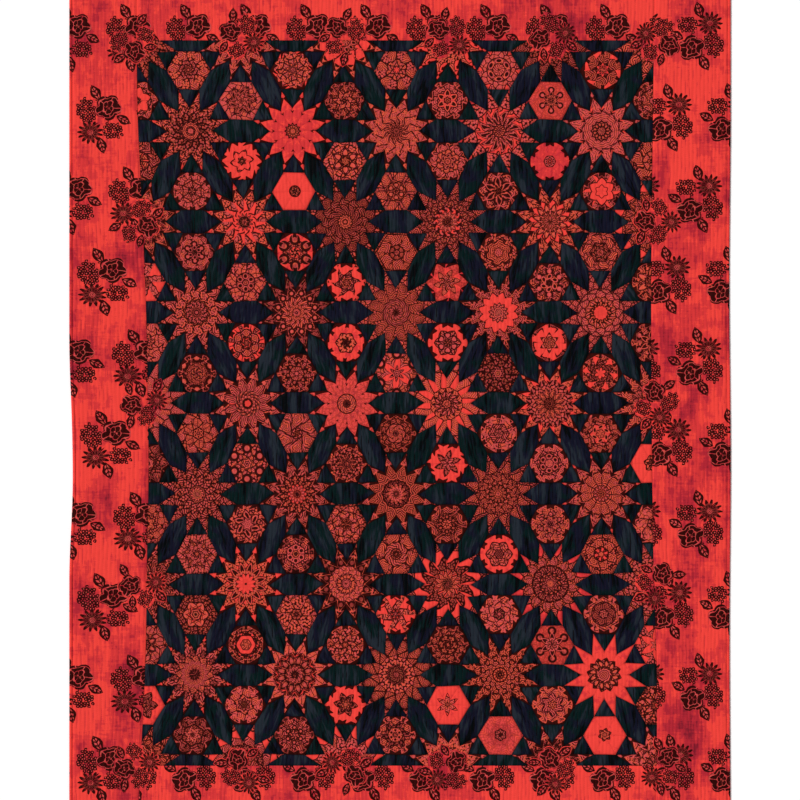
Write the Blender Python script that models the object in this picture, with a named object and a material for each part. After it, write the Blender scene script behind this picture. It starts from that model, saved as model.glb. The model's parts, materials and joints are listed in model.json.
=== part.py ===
"""A pieced star quilt, laid flat with its face up.

The centre is a sewn panel of twelve-pointed stars, hexagons, lens-shaped patches and small
triangles. Four border strips go round it, and four narrow binding strips close the raw edges.
Lengths are in metres. X runs across the quilt, Y along it, and Z up from the surface on which
it lies. The origin is under the middle of the quilt.
"""

import math

import bmesh
import bpy

# Whole quilt
QUILT_WIDTH = 1.709
QUILT_LENGTH = 2.260
BINDING_WIDTH = 0.008
GAP = 0.0003

# Patchwork
PATCH_EDGE = 0.05715
STARS_ACROSS = 5
STAR_ROWS = 8
STAR_POINTS = 12
STAR_NOTCH_RADIUS = 0.0607
CENTRE_TAKE_UP = 0.99
CENTRE_SHIFT_X = -0.0103

# Thickness at a seam, and how far the quilted face stands above it
SEAM_HEIGHT = 0.0036
PATCH_RISE = 0.0018
PATCH_SLOPE = 0.0065
CHANNEL_RISE = 0.0015
BINDING_HEIGHT = 0.0054
BINDING_EDGE_HEIGHT = 0.0034
BINDING_ROUND = 0.3

# The quilting runs in straight lines along the quilt; each channel here takes in three of them
QUILTING_PITCH = 0.0095
LINES_PER_CHANNEL = 3
CHANNEL_PITCH = QUILTING_PITCH * LINES_PER_CHANNEL
BORDER_END_SLOPE = 0.012

# How far sewing has drawn each edge in towards the middle: rows of (y, distance)
LEFT_EDGE_IN = ((-1.13, 0.0), (-0.45, 0.0), (-0.23, 0.0085), (-0.08, 0.0075), (0.16, 0.0), (1.13, 0.0))
RIGHT_EDGE_IN = ((-1.13, 0.0), (-0.60, 0.003), (-0.15, 0.0), (0.30, 0.0035), (0.75, 0.0), (1.13, 0.0))
LEFT_SEAM_IN = (
    (-1.13, 0.0),
    (-0.94, 0.009),
    (-0.66, 0.022),
    (-0.40, 0.026),
    (-0.15, 0.030),
    (0.26, 0.023),
    (0.52, 0.012),
    (0.78, 0.001),
    (1.13, 0.0),
)
RIGHT_SEAM_IN = ((-1.13, 0.0), (-0.74, -0.005), (-0.36, 0.005), (0.26, 0.010), (0.78, 0.005), (1.13, 0.0))

# Face colours
CENTRE_RED = (0.120, 0.022, 0.021)
BORDER_RED = (0.590, 0.034, 0.032)
BINDING_RED = (0.350, 0.020, 0.022)
CLOTH_ROUGHNESS = 0.85

STAR_PITCH = PATCH_EDGE * (3.0 + math.sqrt(3.0))
ROW_PITCH = STAR_PITCH * math.sqrt(3.0) / 2.0
POINT_STEP = 2.0 * math.pi / STAR_POINTS
STAR_TIP_RADIUS = PATCH_EDGE / (2.0 * math.sin(POINT_STEP / 2.0))
STAR_SIDE_REACH = PATCH_EDGE / (2.0 * math.tan(POINT_STEP / 2.0))
HALF_WIDTH = QUILT_WIDTH / 2.0
HALF_LENGTH = QUILT_LENGTH / 2.0
PANEL_HALF_X = STARS_ACROSS * STAR_PITCH / 2.0
PANEL_HALF_Y = STAR_ROWS * ROW_PITCH / 2.0
LEFT_SEAM_X = CENTRE_SHIFT_X - CENTRE_TAKE_UP * PANEL_HALF_X
RIGHT_SEAM_X = CENTRE_SHIFT_X + CENTRE_TAKE_UP * PANEL_HALF_X
BINDING_SEAM_X = HALF_WIDTH - BINDING_WIDTH
BINDING_SEAM_Y = HALF_LENGTH - BINDING_WIDTH
TOUCH = 1e-6


def clear_scene():
    """Remove every object that the file opened with."""
    for thing in list(bpy.data.objects):
        bpy.data.objects.remove(thing, do_unlink=True)


def cloth(name, colour):
    """A matt cotton finish in one colour."""
    material = bpy.data.materials.new(name)
    material.use_nodes = True
    surface = material.node_tree.nodes["Principled BSDF"]
    surface.inputs["Base Color"].default_value = (*colour, 1.0)
    surface.inputs["Roughness"].default_value = CLOTH_ROUGHNESS
    surface.inputs["Metallic"].default_value = 0.0
    return material


def along(curve, place):
    """Smooth value at a place on a curve of (place, value) rows."""
    last = len(curve) - 2
    row = max([0] + [i for i in range(last + 1) if curve[i][0] <= place])

    def slope(i):
        before = curve[max(i - 1, 0)]
        after = curve[min(i + 1, last + 1)]
        return (after[1] - before[1]) / (after[0] - before[0])

    start, value = curve[row]
    end, value_after = curve[row + 1]
    span = end - start
    t = (place - start) / span
    return (
        (2 * t**3 - 3 * t**2 + 1) * value
        + (t**3 - 2 * t**2 + t) * span * slope(row)
        + (3 * t**2 - 2 * t**3) * value_after
        + (t**3 - t**2) * span * slope(row + 1)
    )


def drawn_in(x, y):
    """Where a point of the flat, even quilt lies once sewing has pulled it in."""
    knots = (
        (-HALF_WIDTH, max(along(LEFT_EDGE_IN, y), 0.0)),
        (LEFT_SEAM_X, along(LEFT_SEAM_IN, y)),
        (0.0, 0.0),
        (RIGHT_SEAM_X, -along(RIGHT_SEAM_IN, y)),
        (HALF_WIDTH, -max(along(RIGHT_EDGE_IN, y), 0.0)),
    )
    for (low, low_shift), (high, high_shift) in zip(knots, knots[1:]):
        if x <= high + TOUCH:
            share = (x - low) / (high - low)
            return x + low_shift + share * (high_shift - low_shift)
    return x


def polar(centre, radius, angle):
    """Point at a distance and direction from a centre."""
    return (centre[0] + radius * math.cos(angle), centre[1] + radius * math.sin(angle))


def kite(star, point):
    """One of the patches that meet at a star's middle: middle, notch, tip, notch."""
    start = point * POINT_STEP
    return [
        star,
        polar(star, STAR_NOTCH_RADIUS, start),
        polar(star, STAR_TIP_RADIUS, start + POINT_STEP / 2.0),
        polar(star, STAR_NOTCH_RADIUS, start + POINT_STEP),
    ]


def small_triangle(star, direction):
    """The patch between two tips of a star, on the side of a hexagon."""
    return [
        polar(star, STAR_NOTCH_RADIUS, direction),
        polar(star, STAR_TIP_RADIUS, direction - POINT_STEP / 2.0),
        polar(star, STAR_TIP_RADIUS, direction + POINT_STEP / 2.0),
    ]


def lens(star, direction):
    """The long patch between a star and the next one in a direction."""
    other = polar(star, STAR_PITCH, direction)
    back = direction + math.pi
    half = POINT_STEP / 2.0
    return [
        polar(star, STAR_NOTCH_RADIUS, direction),
        polar(star, STAR_TIP_RADIUS, direction - half),
        polar(other, STAR_TIP_RADIUS, back + half),
        polar(other, STAR_NOTCH_RADIUS, back),
        polar(other, STAR_TIP_RADIUS, back - half),
        polar(star, STAR_TIP_RADIUS, direction + half),
    ]


def hexagon(star, direction):
    """The patch in the middle of three stars."""
    middle = polar(star, STAR_PITCH / math.sqrt(3.0), direction)
    return [polar(middle, PATCH_EDGE, corner * math.pi / 3.0) for corner in range(6)]


def stars():
    """Middles of the stars on the panel and of those just past its seams."""
    for row in range(-1, STAR_ROWS + 2):
        shift = 0.5 if row % 2 == 0 else 0.0
        for column in range(-STARS_ACROSS, STARS_ACROSS + 1):
            yield ((column + shift) * STAR_PITCH, (row - STAR_ROWS / 2.0) * ROW_PITCH)


def trimmed(outline):
    """The share of a convex outline that lies inside the panel's seams."""
    cuts = ((0, PANEL_HALF_X, 1), (0, -PANEL_HALF_X, -1), (1, PANEL_HALF_Y, 1), (1, -PANEL_HALF_Y, -1))
    for axis, limit, side in cuts:
        kept = []
        for here, ahead in zip(outline, outline[1:] + outline[:1]):
            room = side * (limit - here[axis])
            room_ahead = side * (limit - ahead[axis])
            if room > -TOUCH:
                kept.append(here)
            if min(room, room_ahead) < -TOUCH and max(room, room_ahead) > TOUCH:
                share = room / (room - room_ahead)
                kept.append(tuple(a + share * (b - a) for a, b in zip(here, ahead)))
        outline = kept
        if not outline:
            return []
    pairs = zip(outline, outline[1:] + outline[:1])
    area = sum(a[0] * b[1] - b[0] * a[1] for a, b in pairs) / 2.0
    return outline if area > PATCH_EDGE * TOUCH else []


def patch_face(bm, corners, outline):
    """Add one patch, sharing the corners it has in common with its neighbours."""
    vertices = []
    for x, y in outline:
        key = (round(x, 5), round(y, 5))
        if key not in corners:
            corners[key] = bm.verts.new((CENTRE_SHIFT_X + CENTRE_TAKE_UP * x, y, SEAM_HEIGHT))
        vertices.append(corners[key])
    return bm.faces.new(vertices)


def pieced_face():
    """The upper face of the pieced centre, each patch a little raised inside its seams."""
    bm = bmesh.new()
    corners = {}
    pointed = []
    broad = []
    for star in stars():
        for point in range(STAR_POINTS):
            pointed.append(trimmed(kite(star, point)))
        for side in range(6):
            outline = trimmed(small_triangle(star, (2 * side + 1) * POINT_STEP))
            if outline:
                patch_face(bm, corners, outline)
        for side in range(3):
            broad.append(trimmed(lens(star, 2 * side * POINT_STEP)))
        for side in range(2):
            broad.append(trimmed(hexagon(star, (2 * side + 1) * POINT_STEP)))
    kites = [patch_face(bm, corners, outline) for outline in pointed if outline]
    plateaus = [patch_face(bm, corners, outline) for outline in broad if outline]
    bm.normal_update()
    bmesh.ops.inset_individual(bm, faces=plateaus, thickness=PATCH_SLOPE, depth=PATCH_RISE)
    bmesh.ops.poke(bm, faces=kites, offset=PATCH_RISE)
    return bm


def grid_face(columns, rows, height):
    """An upper face on a grid, its height worked out from the column and the row."""
    bm = bmesh.new()
    grid = [[bm.verts.new((x, y, height(i, j))) for i, x in enumerate(columns)] for j, y in enumerate(rows)]
    for lower, upper in zip(grid, grid[1:]):
        for i in range(len(columns) - 1):
            bm.faces.new((lower[i], lower[i + 1], upper[i + 1], upper[i]))
    return bm


def side_vertices(bm, axis, limit):
    """The vertices on one straight side, in order along it."""
    found = [v for v in bm.verts if abs(v.co[axis] - limit) < TOUCH]
    return sorted(found, key=lambda v: v.co[1 - axis])


def add_walls_and_underside(bm, sides):
    """Drop a wall from each side to the surface, and close the piece below."""
    ring = {v for side in sides for v in side}
    below = {v: bm.verts.new((v.co.x, v.co.y, 0.0)) for v in ring}
    for side in sides:
        for v, after in zip(side, side[1:]):
            bm.faces.new((v, after, below[after], below[v]))
    left, right, near, far = ([below[v] for v in side] for side in sides)
    for i, (v, after) in enumerate(zip(near, near[1:])):
        bm.faces.new((left[1], v, after))
    bm.faces.new((left[1], right[0], right[1]))
    for i in range(1, len(left) - 2):
        bm.faces.new((left[i], right[i], right[i + 1], left[i + 1]))
    for i, (v, after) in enumerate(zip(far, far[1:])):
        bm.faces.new((left[-2], v, after))
    bm.faces.new((left[-2], right[-2], right[-1]))


def sewn_piece(name, bm, limits, joined, colour):
    """Close a face into a solid, pull it in, and part it from the pieces it is sewn to.

    The limits are the lowest and highest x, then y. Joined says, in the same order, which of
    these sides has a neighbour.
    """
    axes = (0, 0, 1, 1)
    sides = [side_vertices(bm, axis, limit) for axis, limit in zip(axes, limits)]
    add_walls_and_underside(bm, sides)
    for v in bm.verts:
        x, y = v.co.x, v.co.y
        step = [0.0, 0.0]
        for axis, limit, has_neighbour, inward in zip(axes, limits, joined, (1, -1, 1, -1)):
            if has_neighbour and abs(v.co[axis] - limit) < TOUCH:
                step[axis] = inward * GAP / 2.0
        v.co.x = drawn_in(x, y) + step[0]
        v.co.y = y + step[1]
    bmesh.ops.recalc_face_normals(bm, faces=bm.faces)
    mesh = bpy.data.meshes.new(name)
    bm.to_mesh(mesh)
    bm.free()
    mesh.materials.append(cloth(name, colour))
    piece = bpy.data.objects.new(name, mesh)
    bpy.context.scene.collection.objects.link(piece)
    return piece


def seam_stations():
    """Places along a side seam where a patch seam meets it."""
    hexagon_far_side = STAR_SIDE_REACH + math.sqrt(3.0) * PATCH_EDGE
    half_repeat = [0.0, STAR_NOTCH_RADIUS, STAR_SIDE_REACH, hexagon_far_side]
    repeat = half_repeat + [2.0 * ROW_PITCH - place for place in half_repeat[:0:-1]]
    places = []
    for pair in range(STAR_ROWS // 2):
        places += [-PANEL_HALF_Y + pair * 2.0 * ROW_PITCH + place for place in repeat]
    return places + [PANEL_HALF_Y]


def full_length_rows(end):
    """Rows of a strip that runs the quilt's whole length, with the panel's stations in it."""
    return [-end, -(end + PANEL_HALF_Y) / 2.0] + seam_stations() + [(end + PANEL_HALF_Y) / 2.0, end]


def channel_columns(low, high):
    """Columns on the quilted channels' valleys and crests, from one edge to the other."""
    channels = round((high - low) / CHANNEL_PITCH)
    return [low + (high - low) * i / (2 * channels) for i in range(2 * channels + 1)]


def make_pieced_centre():
    """The panel of patchwork."""
    limits = (LEFT_SEAM_X, RIGHT_SEAM_X, -PANEL_HALF_Y, PANEL_HALF_Y)
    sewn_piece("pieced_centre", pieced_face(), limits, (True, True, True, True), CENTRE_RED)


def make_border(name, limits, rows):
    """A border strip with quilted channels along the quilt."""
    columns = channel_columns(limits[0], limits[1])
    last = len(rows) - 1

    def height(column, row):
        crest = column % 2 == 1 and 0 < row < last
        return SEAM_HEIGHT + (CHANNEL_RISE if crest else 0.0)

    sewn_piece(name, grid_face(columns, rows, height), limits, (True, True, True, True), BORDER_RED)


def make_side_borders():
    """The two borders that run the quilt's whole length."""
    rows = full_length_rows(BINDING_SEAM_Y)
    make_border("border_left", (-BINDING_SEAM_X, LEFT_SEAM_X, -BINDING_SEAM_Y, BINDING_SEAM_Y), rows)
    make_border("border_right", (RIGHT_SEAM_X, BINDING_SEAM_X, -BINDING_SEAM_Y, BINDING_SEAM_Y), rows)


def make_end_borders():
    """The two borders that fit between the side borders, above and below the panel."""
    for name, low, high in (
        ("border_top", PANEL_HALF_Y, BINDING_SEAM_Y),
        ("border_bottom", -BINDING_SEAM_Y, -PANEL_HALF_Y),
    ):
        rows = [low, low + BORDER_END_SLOPE, high - BORDER_END_SLOPE, high]
        make_border(name, (LEFT_SEAM_X, RIGHT_SEAM_X, low, high), rows)


def folded_steps(low, high):
    """Four steps across a binding strip: edge, top, top, edge."""
    width = high - low
    return [low, low + BINDING_ROUND * width, high - BINDING_ROUND * width, high]


def folded_height(step):
    """Height of a folded binding strip at one of the four steps across it."""
    return BINDING_HEIGHT if step in (1, 2) else BINDING_EDGE_HEIGHT


def make_side_binding():
    """The binding strips on the left and right edges, as long as the quilt."""
    for name, low, high, joined in (
        ("binding_left", -HALF_WIDTH, -BINDING_SEAM_X, (False, True, False, False)),
        ("binding_right", BINDING_SEAM_X, HALF_WIDTH, (True, False, False, False)),
    ):
        face = grid_face(
            folded_steps(low, high), full_length_rows(HALF_LENGTH), lambda column, row: folded_height(column)
        )
        sewn_piece(name, face, (low, high, -HALF_LENGTH, HALF_LENGTH), joined, BINDING_RED)


def make_end_binding():
    """The binding strips on the top and bottom edges, between the side strips."""
    columns = [-BINDING_SEAM_X, LEFT_SEAM_X, RIGHT_SEAM_X, BINDING_SEAM_X]
    for name, low, high, joined in (
        ("binding_bottom", -HALF_LENGTH, -BINDING_SEAM_Y, (True, True, False, True)),
        ("binding_top", BINDING_SEAM_Y, HALF_LENGTH, (True, True, True, False)),
    ):
        face = grid_face(columns, folded_steps(low, high), lambda column, row: folded_height(row))
        sewn_piece(name, face, (-BINDING_SEAM_X, BINDING_SEAM_X, low, high), joined, BINDING_RED)


clear_scene()
make_pieced_centre()
make_side_borders()
make_end_borders()
make_side_binding()
make_end_binding()
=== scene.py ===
"""Finished cloth for a pieced star quilt that lies flat with its face up.

The patchwork, borders, binding, backing, flower sprays and stitches are built as meshes in the
quilt's own frame, with procedural cotton finishes. X runs across the quilt, Y along it, and Z up.
"""

import json
import math
import random
from dataclasses import dataclass

import bpy
import numpy as np
from bpy.props import FloatProperty, FloatVectorProperty, IntProperty, PointerProperty
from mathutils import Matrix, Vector
from mathutils.bvhtree import BVHTree
from mathutils.geometry import delaunay_2d_cdt

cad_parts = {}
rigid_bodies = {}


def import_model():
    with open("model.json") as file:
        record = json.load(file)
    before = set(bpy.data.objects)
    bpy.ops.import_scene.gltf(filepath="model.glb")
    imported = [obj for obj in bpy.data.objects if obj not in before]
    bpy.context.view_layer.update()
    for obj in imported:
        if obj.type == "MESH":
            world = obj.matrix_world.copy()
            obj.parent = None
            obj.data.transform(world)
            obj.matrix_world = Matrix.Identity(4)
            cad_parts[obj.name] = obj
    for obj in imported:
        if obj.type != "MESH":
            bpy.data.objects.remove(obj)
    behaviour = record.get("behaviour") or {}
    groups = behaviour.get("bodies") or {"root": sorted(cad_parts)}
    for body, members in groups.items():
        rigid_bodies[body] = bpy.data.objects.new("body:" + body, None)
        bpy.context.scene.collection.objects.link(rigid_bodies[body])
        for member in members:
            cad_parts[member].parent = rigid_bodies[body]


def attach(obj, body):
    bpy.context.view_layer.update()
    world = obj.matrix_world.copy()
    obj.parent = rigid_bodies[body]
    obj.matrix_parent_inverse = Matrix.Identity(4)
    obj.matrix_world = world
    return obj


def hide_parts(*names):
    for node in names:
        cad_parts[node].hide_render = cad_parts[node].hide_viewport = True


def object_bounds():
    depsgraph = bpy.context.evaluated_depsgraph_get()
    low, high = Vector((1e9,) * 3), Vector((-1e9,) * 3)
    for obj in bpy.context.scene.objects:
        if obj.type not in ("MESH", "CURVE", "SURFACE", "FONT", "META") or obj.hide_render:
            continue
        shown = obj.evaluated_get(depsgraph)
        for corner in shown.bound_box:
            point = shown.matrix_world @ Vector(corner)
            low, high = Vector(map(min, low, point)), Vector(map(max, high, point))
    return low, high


bl_info = {
    "name": "Pieced star quilt",
    "version": (1, 0, 0),
    "blender": (4, 5, 0),
    "location": "3D View > Sidebar > Quilt",
    "description": "Builds the cloth pieces of a quilt of twelve-pointed stars",
    "category": "Mesh",
}

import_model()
cad_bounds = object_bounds()

# Patchwork count, and rows of (y, distance) by which sewing has drawn each edge in
STARS_ACROSS = 5
STAR_ROWS = 8
STAR_POINTS = 12
LEFT_EDGE_IN = ((-1.13, 0.0), (-0.45, 0.0), (-0.23, 0.0085), (-0.08, 0.0075), (0.16, 0.0), (1.13, 0.0))
RIGHT_EDGE_IN = ((-1.13, 0.0), (-0.60, 0.003), (-0.15, 0.0), (0.30, 0.0035), (0.75, 0.0), (1.13, 0.0))
LEFT_SEAM_IN = (
    (-1.13, 0.0),
    (-0.94, 0.009),
    (-0.66, 0.022),
    (-0.40, 0.026),
    (-0.15, 0.030),
    (0.26, 0.023),
    (0.52, 0.012),
    (0.78, 0.001),
    (1.13, 0.0),
)
RIGHT_SEAM_IN = ((-1.13, 0.0), (-0.74, -0.005), (-0.36, 0.005), (0.26, 0.010), (0.78, 0.005), (1.13, 0.0))

# A printed flower spray: rows of (form, x, y, length, width, turn), and stems of (x, y, to x, to y)
SPRAY_MOTIFS = (
    ("leaf", -0.012, 0.070, 0.050, 0.029, 2.1),
    ("leaf", 0.063, -0.004, 0.044, 0.026, -0.5),
    ("leaf", 0.002, -0.074, 0.048, 0.028, -1.3),
    ("berries", -0.038, 0.022, 0.056, 0.070, 0.35),
    ("berries", 0.032, -0.034, 0.058, 0.054, -0.5),
    ("aster", -0.028, -0.038, 0.072, 0.066, 0.2),
    ("rose", 0.022, 0.030, 0.078, 0.072, 0.4),
)
SPRAY_STEMS = (
    (-0.012, 0.050, 0.012, 0.030),
    (0.050, 0.002, 0.026, 0.022),
    (0.000, -0.056, -0.020, -0.040),
    (-0.014, -0.018, 0.006, 0.016),
    (0.020, -0.012, 0.014, 0.014),
)
SPRAY_WIDTH = 0.155
SPRAY_DROP = 0.210
PRINT_SCALE = 0.94

# Depth of a seam inside a star or hexagon, as a share of the depth of the seams round it
INNER_SEAM = 0.45

# Metres between the backing and the cloths on it, and a measure too small to matter
CLOTH_GAP = 0.0002
TOUCH = 1e-6

# Mesh steps beside a seam and along it, the room that points inside a patch leave them, and the rim
# of a strip where columns stay straight
LIP = 0.0022
SEAM_STEP = 0.0065
LIP_ROOM = 0.0017
INNER_ROOM = 0.0019
STRAIGHT_RIM = 0.003

# Sewn-on sprays: mesh step and reach, cloth past the print, thickness left at the edge, metres that
# they sink into what they lie on, and metres from the panel's seams outward
SPRAY_STEP = 0.0045
SPRAY_REACH = 0.10
SPRAY_MARGIN = 0.0025
SPRAY_EDGE = 0.55
SPRAY_SINK = 0.0003
OUT_TO_SIDE = 0.012
OUT_TO_END = 0.010

# Edge stitches: metres inside a spray's edge and over the binding's, the binding's spacing in stitch
# lengths, rise in thread widths, and share by which lengths vary
SPRAY_INSET = 0.0013
BINDING_INSET = 0.0016
STITCH_SPACING = 1.5
STITCH_RISE = 0.15
UNEVENNESS = 0.18

# Mesh of the binding, as shares of its width and a step along it, and rows of the backing's mesh
FOLD_STEPS = np.array([0.0, 0.05, 0.16, 0.35, 0.55, 0.75, 0.90, 0.97, 1.0])
BINDING_STEP = 0.006
BACKING_COLUMNS = 70
BACKING_ROWS = 92

# A hexagon's side is at this share of its edge from its middle
HEXAGON_REACH = 0.866

# How stars and hexagons show the print: rows of plainness, its odds, ring radii, and ring shapes
STAR_FIGURE = (
    (0.0, 1.0, 0.6, -0.8),
    (0.86, 0.06, 0.03, 0.05),
    (0.018, 0.025, 0.032, 0.040, 0.048),
    (-0.25, 0.35),
)
HEXAGON_FIGURE = (
    (0.0, 1.0, 0.6, -1.0),
    (0.74, 0.12, 0.06, 0.08),
    (0.014, 0.019, 0.025, 0.031),
    (-0.35, 0.55),
)

# How far cuts reach over the print, how the patches of one cut stray from it in place and in turn,
# and how far the grain turns in any dark patch, and the patch's own axes in a small triangle
PRINT_REACH = 2.0
SCISSOR_SLIP = 0.0006
SCISSOR_TURN = 0.012
GRAIN_TURN = 0.15
TRIANGLE_TURN = 0.5

# Dye clouds: rows of (scale across, scale along, detail, roughness, share), and where each dye sets in
CLOUD_LAYERS = ((170.0, 13.0, 3.0, 0.6, 0.30), (22.0, 190.0, 2.0, 0.5, 0.16), (30.0, 23.0, 3.0, 0.6, 0.42))
DYE_BANDS = (("Scarlet", 0.445, 0.495), ("Crimson", 0.54, 0.6), ("Maroon", 0.63, 0.71))

# Threads to a metre of the weave, metres to a quilting stitch, and metres of relief in the finish:
# the weave, a quilting line and a pucker
WEAVE_THREADS = 1400.0
QUILTING_STITCH = 0.0055
WEAVE_RELIEF = 0.00002
LINE_RELIEF = 0.0006
PUCKER_RELIEF = 0.0008

# The mean of a noise colour
GREY = (0.5, 0.5, 0.5)

# Faces that meet at more than this angle show a crisp fold, and faces above this slope are upper ones
FOLD_ANGLE = math.radians(48.0)
UPWARD = 0.2


def length_setting(name, description, default):
    """A length in metres that the sidebar shows."""
    return FloatProperty(name=name, description=description, default=default, unit="LENGTH", precision=5)


def dye_setting(name, description, default):
    """A colour that the sidebar shows."""
    return FloatVectorProperty(name=name, description=description, default=default, subtype="COLOR")


class QuiltSizes(bpy.types.PropertyGroup):
    """Sizes of the quilt's patches, quilting and edges."""

    patch_edge: length_setting("Patch edge", "Side of a hexagon patch", 0.05715)
    notch_radius: length_setting("Notch radius", "From a star's middle to a notch", 0.0607)
    take_up: FloatProperty(
        name="Take-up", description="Width left after quilting, as a share", default=0.99, subtype="FACTOR"
    )
    centre_shift: length_setting("Centre shift", "Panel's middle, across the quilt", -0.0103)
    binding_width: length_setting("Binding width", "Width of the binding that shows", 0.008)
    binding_height: length_setting("Binding height", "Height of the folded binding", 0.0054)
    seam_height: length_setting("Seam height", "Thickness of the quilt at a seam", 0.0036)
    patch_rise: length_setting("Patch rise", "How far a patch puffs above its seams", 0.0021)
    seam_slope: length_setting("Seam slope", "Width over which cloth falls to a seam", 0.006)
    quilting_pitch: length_setting("Quilting pitch", "Distance between quilting lines", 0.0095)
    groove_depth: length_setting("Groove depth", "Depth of a quilting line", 0.0013)
    wander: FloatProperty(
        name="Wander", description="Sideways wander of a quilting line, in line pitches", default=0.10
    )
    backing_thickness: length_setting("Backing", "Thickness of the backing cloth", 0.0012)
    row_step: length_setting("Row step", "Mesh step along the quilting lines", 0.008)
    spray_scale: FloatProperty(
        name="Spray scale", description="Size of a sewn-on spray beside a printed one", default=0.80
    )
    cloth_thickness: length_setting("Cloth thickness", "Thickness of a sewn-on spray", 0.0006)
    stitch_length: length_setting("Stitch length", "Length of an edge stitch", 0.0027)
    thread_width: length_setting("Thread width", "Width of an edge stitch", 0.0005)
    piecing_error: length_setting("Piecing error", "How far sewn corners stray", 0.0014)
    seed: IntProperty(name="Seed", description="Choice of the print's cuts", default=165)


class QuiltColours(bpy.types.PropertyGroup):
    """Colours of the dyed and printed cottons, with the painted highlight and shade on the dark cotton's
    folds.
    """

    bright: dye_setting("Bright red", "Ground of the print", (0.84, 0.054, 0.042))
    scarlet: dye_setting("Scarlet", "First clouds in the ground", (0.64, 0.035, 0.037))
    crimson: dye_setting("Crimson", "Deeper clouds", (0.42, 0.019, 0.032))
    maroon: dye_setting("Maroon", "Darkest clouds", (0.21, 0.011, 0.023))
    rose: dye_setting("Rose", "Lit parts of the print", (0.66, 0.075, 0.073))
    coral: dye_setting("Coral", "Lit parts of warmer cuts", (0.72, 0.085, 0.047))
    dusk: dye_setting("Dusky red", "Shaded parts of the print", (0.22, 0.024, 0.022))
    olive: dye_setting("Olive", "Flecks in the print", (0.26, 0.085, 0.030))
    ink: dye_setting("Ink", "Darkest print", (0.013, 0.0010, 0.0006))
    teal: dye_setting("Teal black", "Plain dark cotton", (0.0012, 0.0100, 0.0100))
    navy: dye_setting("Navy black", "Plain dark cotton", (0.0055, 0.0058, 0.0165))
    # Painted highlight on the dark cotton's folds
    painted_fold_highlight: dye_setting("Slate", "Light streaks in dark cotton", (0.016, 0.022, 0.031))
    # Painted shade in the dark cotton's creases and folds
    pitch: dye_setting("Pitch", "Creases in dark cotton", (0.0006, 0.0015, 0.0022))
    thread: dye_setting("Thread", "Quilting thread", (0.20, 0.012, 0.016))


class StageSettings(bpy.types.PropertyGroup):
    """Floor, light and camera."""

    floor: dye_setting("Floor", "Floor colour", (0.93, 0.93, 0.93))
    room_light: FloatProperty(name="Room light", description="Strength of the even light", default=0.42)
    key_light: FloatProperty(name="Key light", description="Strength of the upper left light", default=3.1)
    key_spread: FloatProperty(
        name="Key spread", description="Softness of shadows", default=math.radians(14.0), subtype="ANGLE"
    )
    view_width: length_setting("View width", "Width of the view at the quilt", 2.068)
    lens: FloatProperty(name="Lens", description="Focal length in millimetres", default=85.0)
    view_y: length_setting("View middle", "Where the camera looks, along the quilt", 0.0078)


def sizes():
    """The quilt's sizes in this scene."""
    return bpy.context.scene.quilt_sizes


def colours():
    """The quilt's colours in this scene."""
    return bpy.context.scene.quilt_colours


# Shape of the laid quilt


def half_width():
    """Half of the quilt's width, from the frame."""
    return float(cad_bounds[1][0])


def half_length():
    """Half of the quilt's length, from the frame."""
    return float(cad_bounds[1][1])


def star_pitch():
    """Distance between the middles of two neighbouring stars."""
    return sizes().patch_edge * (3.0 + math.sqrt(3.0))


def row_pitch():
    """Distance between two rows of stars."""
    return star_pitch() * math.sqrt(3.0) / 2.0


def tip_radius():
    """From a star's middle to a tip."""
    return sizes().patch_edge / (2.0 * math.sin(math.pi / STAR_POINTS))


def panel_half():
    """Half of the panel's size, before take-up."""
    return (STARS_ACROSS * star_pitch() / 2.0, STAR_ROWS * row_pitch() / 2.0)


def side_seams():
    """Where the panel meets the side borders, on the flat, even quilt."""
    reach = sizes().take_up * panel_half()[0]
    return (sizes().centre_shift - reach, sizes().centre_shift + reach)


def along(curve, places):
    """Smooth values at places on a curve of (place, value) rows."""
    place, value = np.array(curve).T
    slope = np.gradient(value, place)
    slope[1:-1] = (value[2:] - value[:-2]) / (place[2:] - place[:-2])
    row = np.clip(np.searchsorted(place, places, side="right") - 1, 0, len(place) - 2)
    span = place[row + 1] - place[row]
    t = (places - place[row]) / span
    return (
        (2 * t**3 - 3 * t**2 + 1) * value[row]
        + (t**3 - 2 * t**2 + t) * span * slope[row]
        + (3 * t**2 - 2 * t**3) * value[row + 1]
        + (t**3 - t**2) * span * slope[row + 1]
    )


def drawn_in(flat):
    """Where points of the flat, even quilt lie once sewing has pulled them in."""
    x, y = flat[:, 0], flat[:, 1]
    left, right = side_seams()
    knots = np.array([-half_width(), left, 0.0, right, half_width()])
    shifts = np.stack(
        [
            np.maximum(along(LEFT_EDGE_IN, y), 0.0),
            along(LEFT_SEAM_IN, y),
            np.zeros(len(y)),
            -along(RIGHT_SEAM_IN, y),
            -np.maximum(along(RIGHT_EDGE_IN, y), 0.0),
        ],
        axis=1,
    )
    part = np.clip(np.searchsorted(knots, x, side="right") - 1, 0, 3)
    share = (x - knots[part]) / (knots[part + 1] - knots[part])
    which = np.arange(len(x))
    shift = shifts[which, part] * (1.0 - share) + shifts[which, part + 1] * share
    return np.stack([x + shift, y], axis=1)


def line_wander(x, y):
    """How far a quilting line strays at a place, in line pitches."""
    return sizes().wander * (np.sin(17.0 * y + 9.0 * x) + 0.6 * np.sin(-41.0 * y + 23.0 * x + 1.0))


def line_number(flat):
    """Which quilting line a point is on, counted from the middle, with fractions between lines."""
    x, y = flat[:, 0], flat[:, 1]
    return x / sizes().quilting_pitch + line_wander(x, y)


def line_x(number, y):
    """Where along x a quilting line, or a fraction between two, crosses each y."""
    x = number * sizes().quilting_pitch
    return x - line_wander(x, y) * sizes().quilting_pitch


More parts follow.
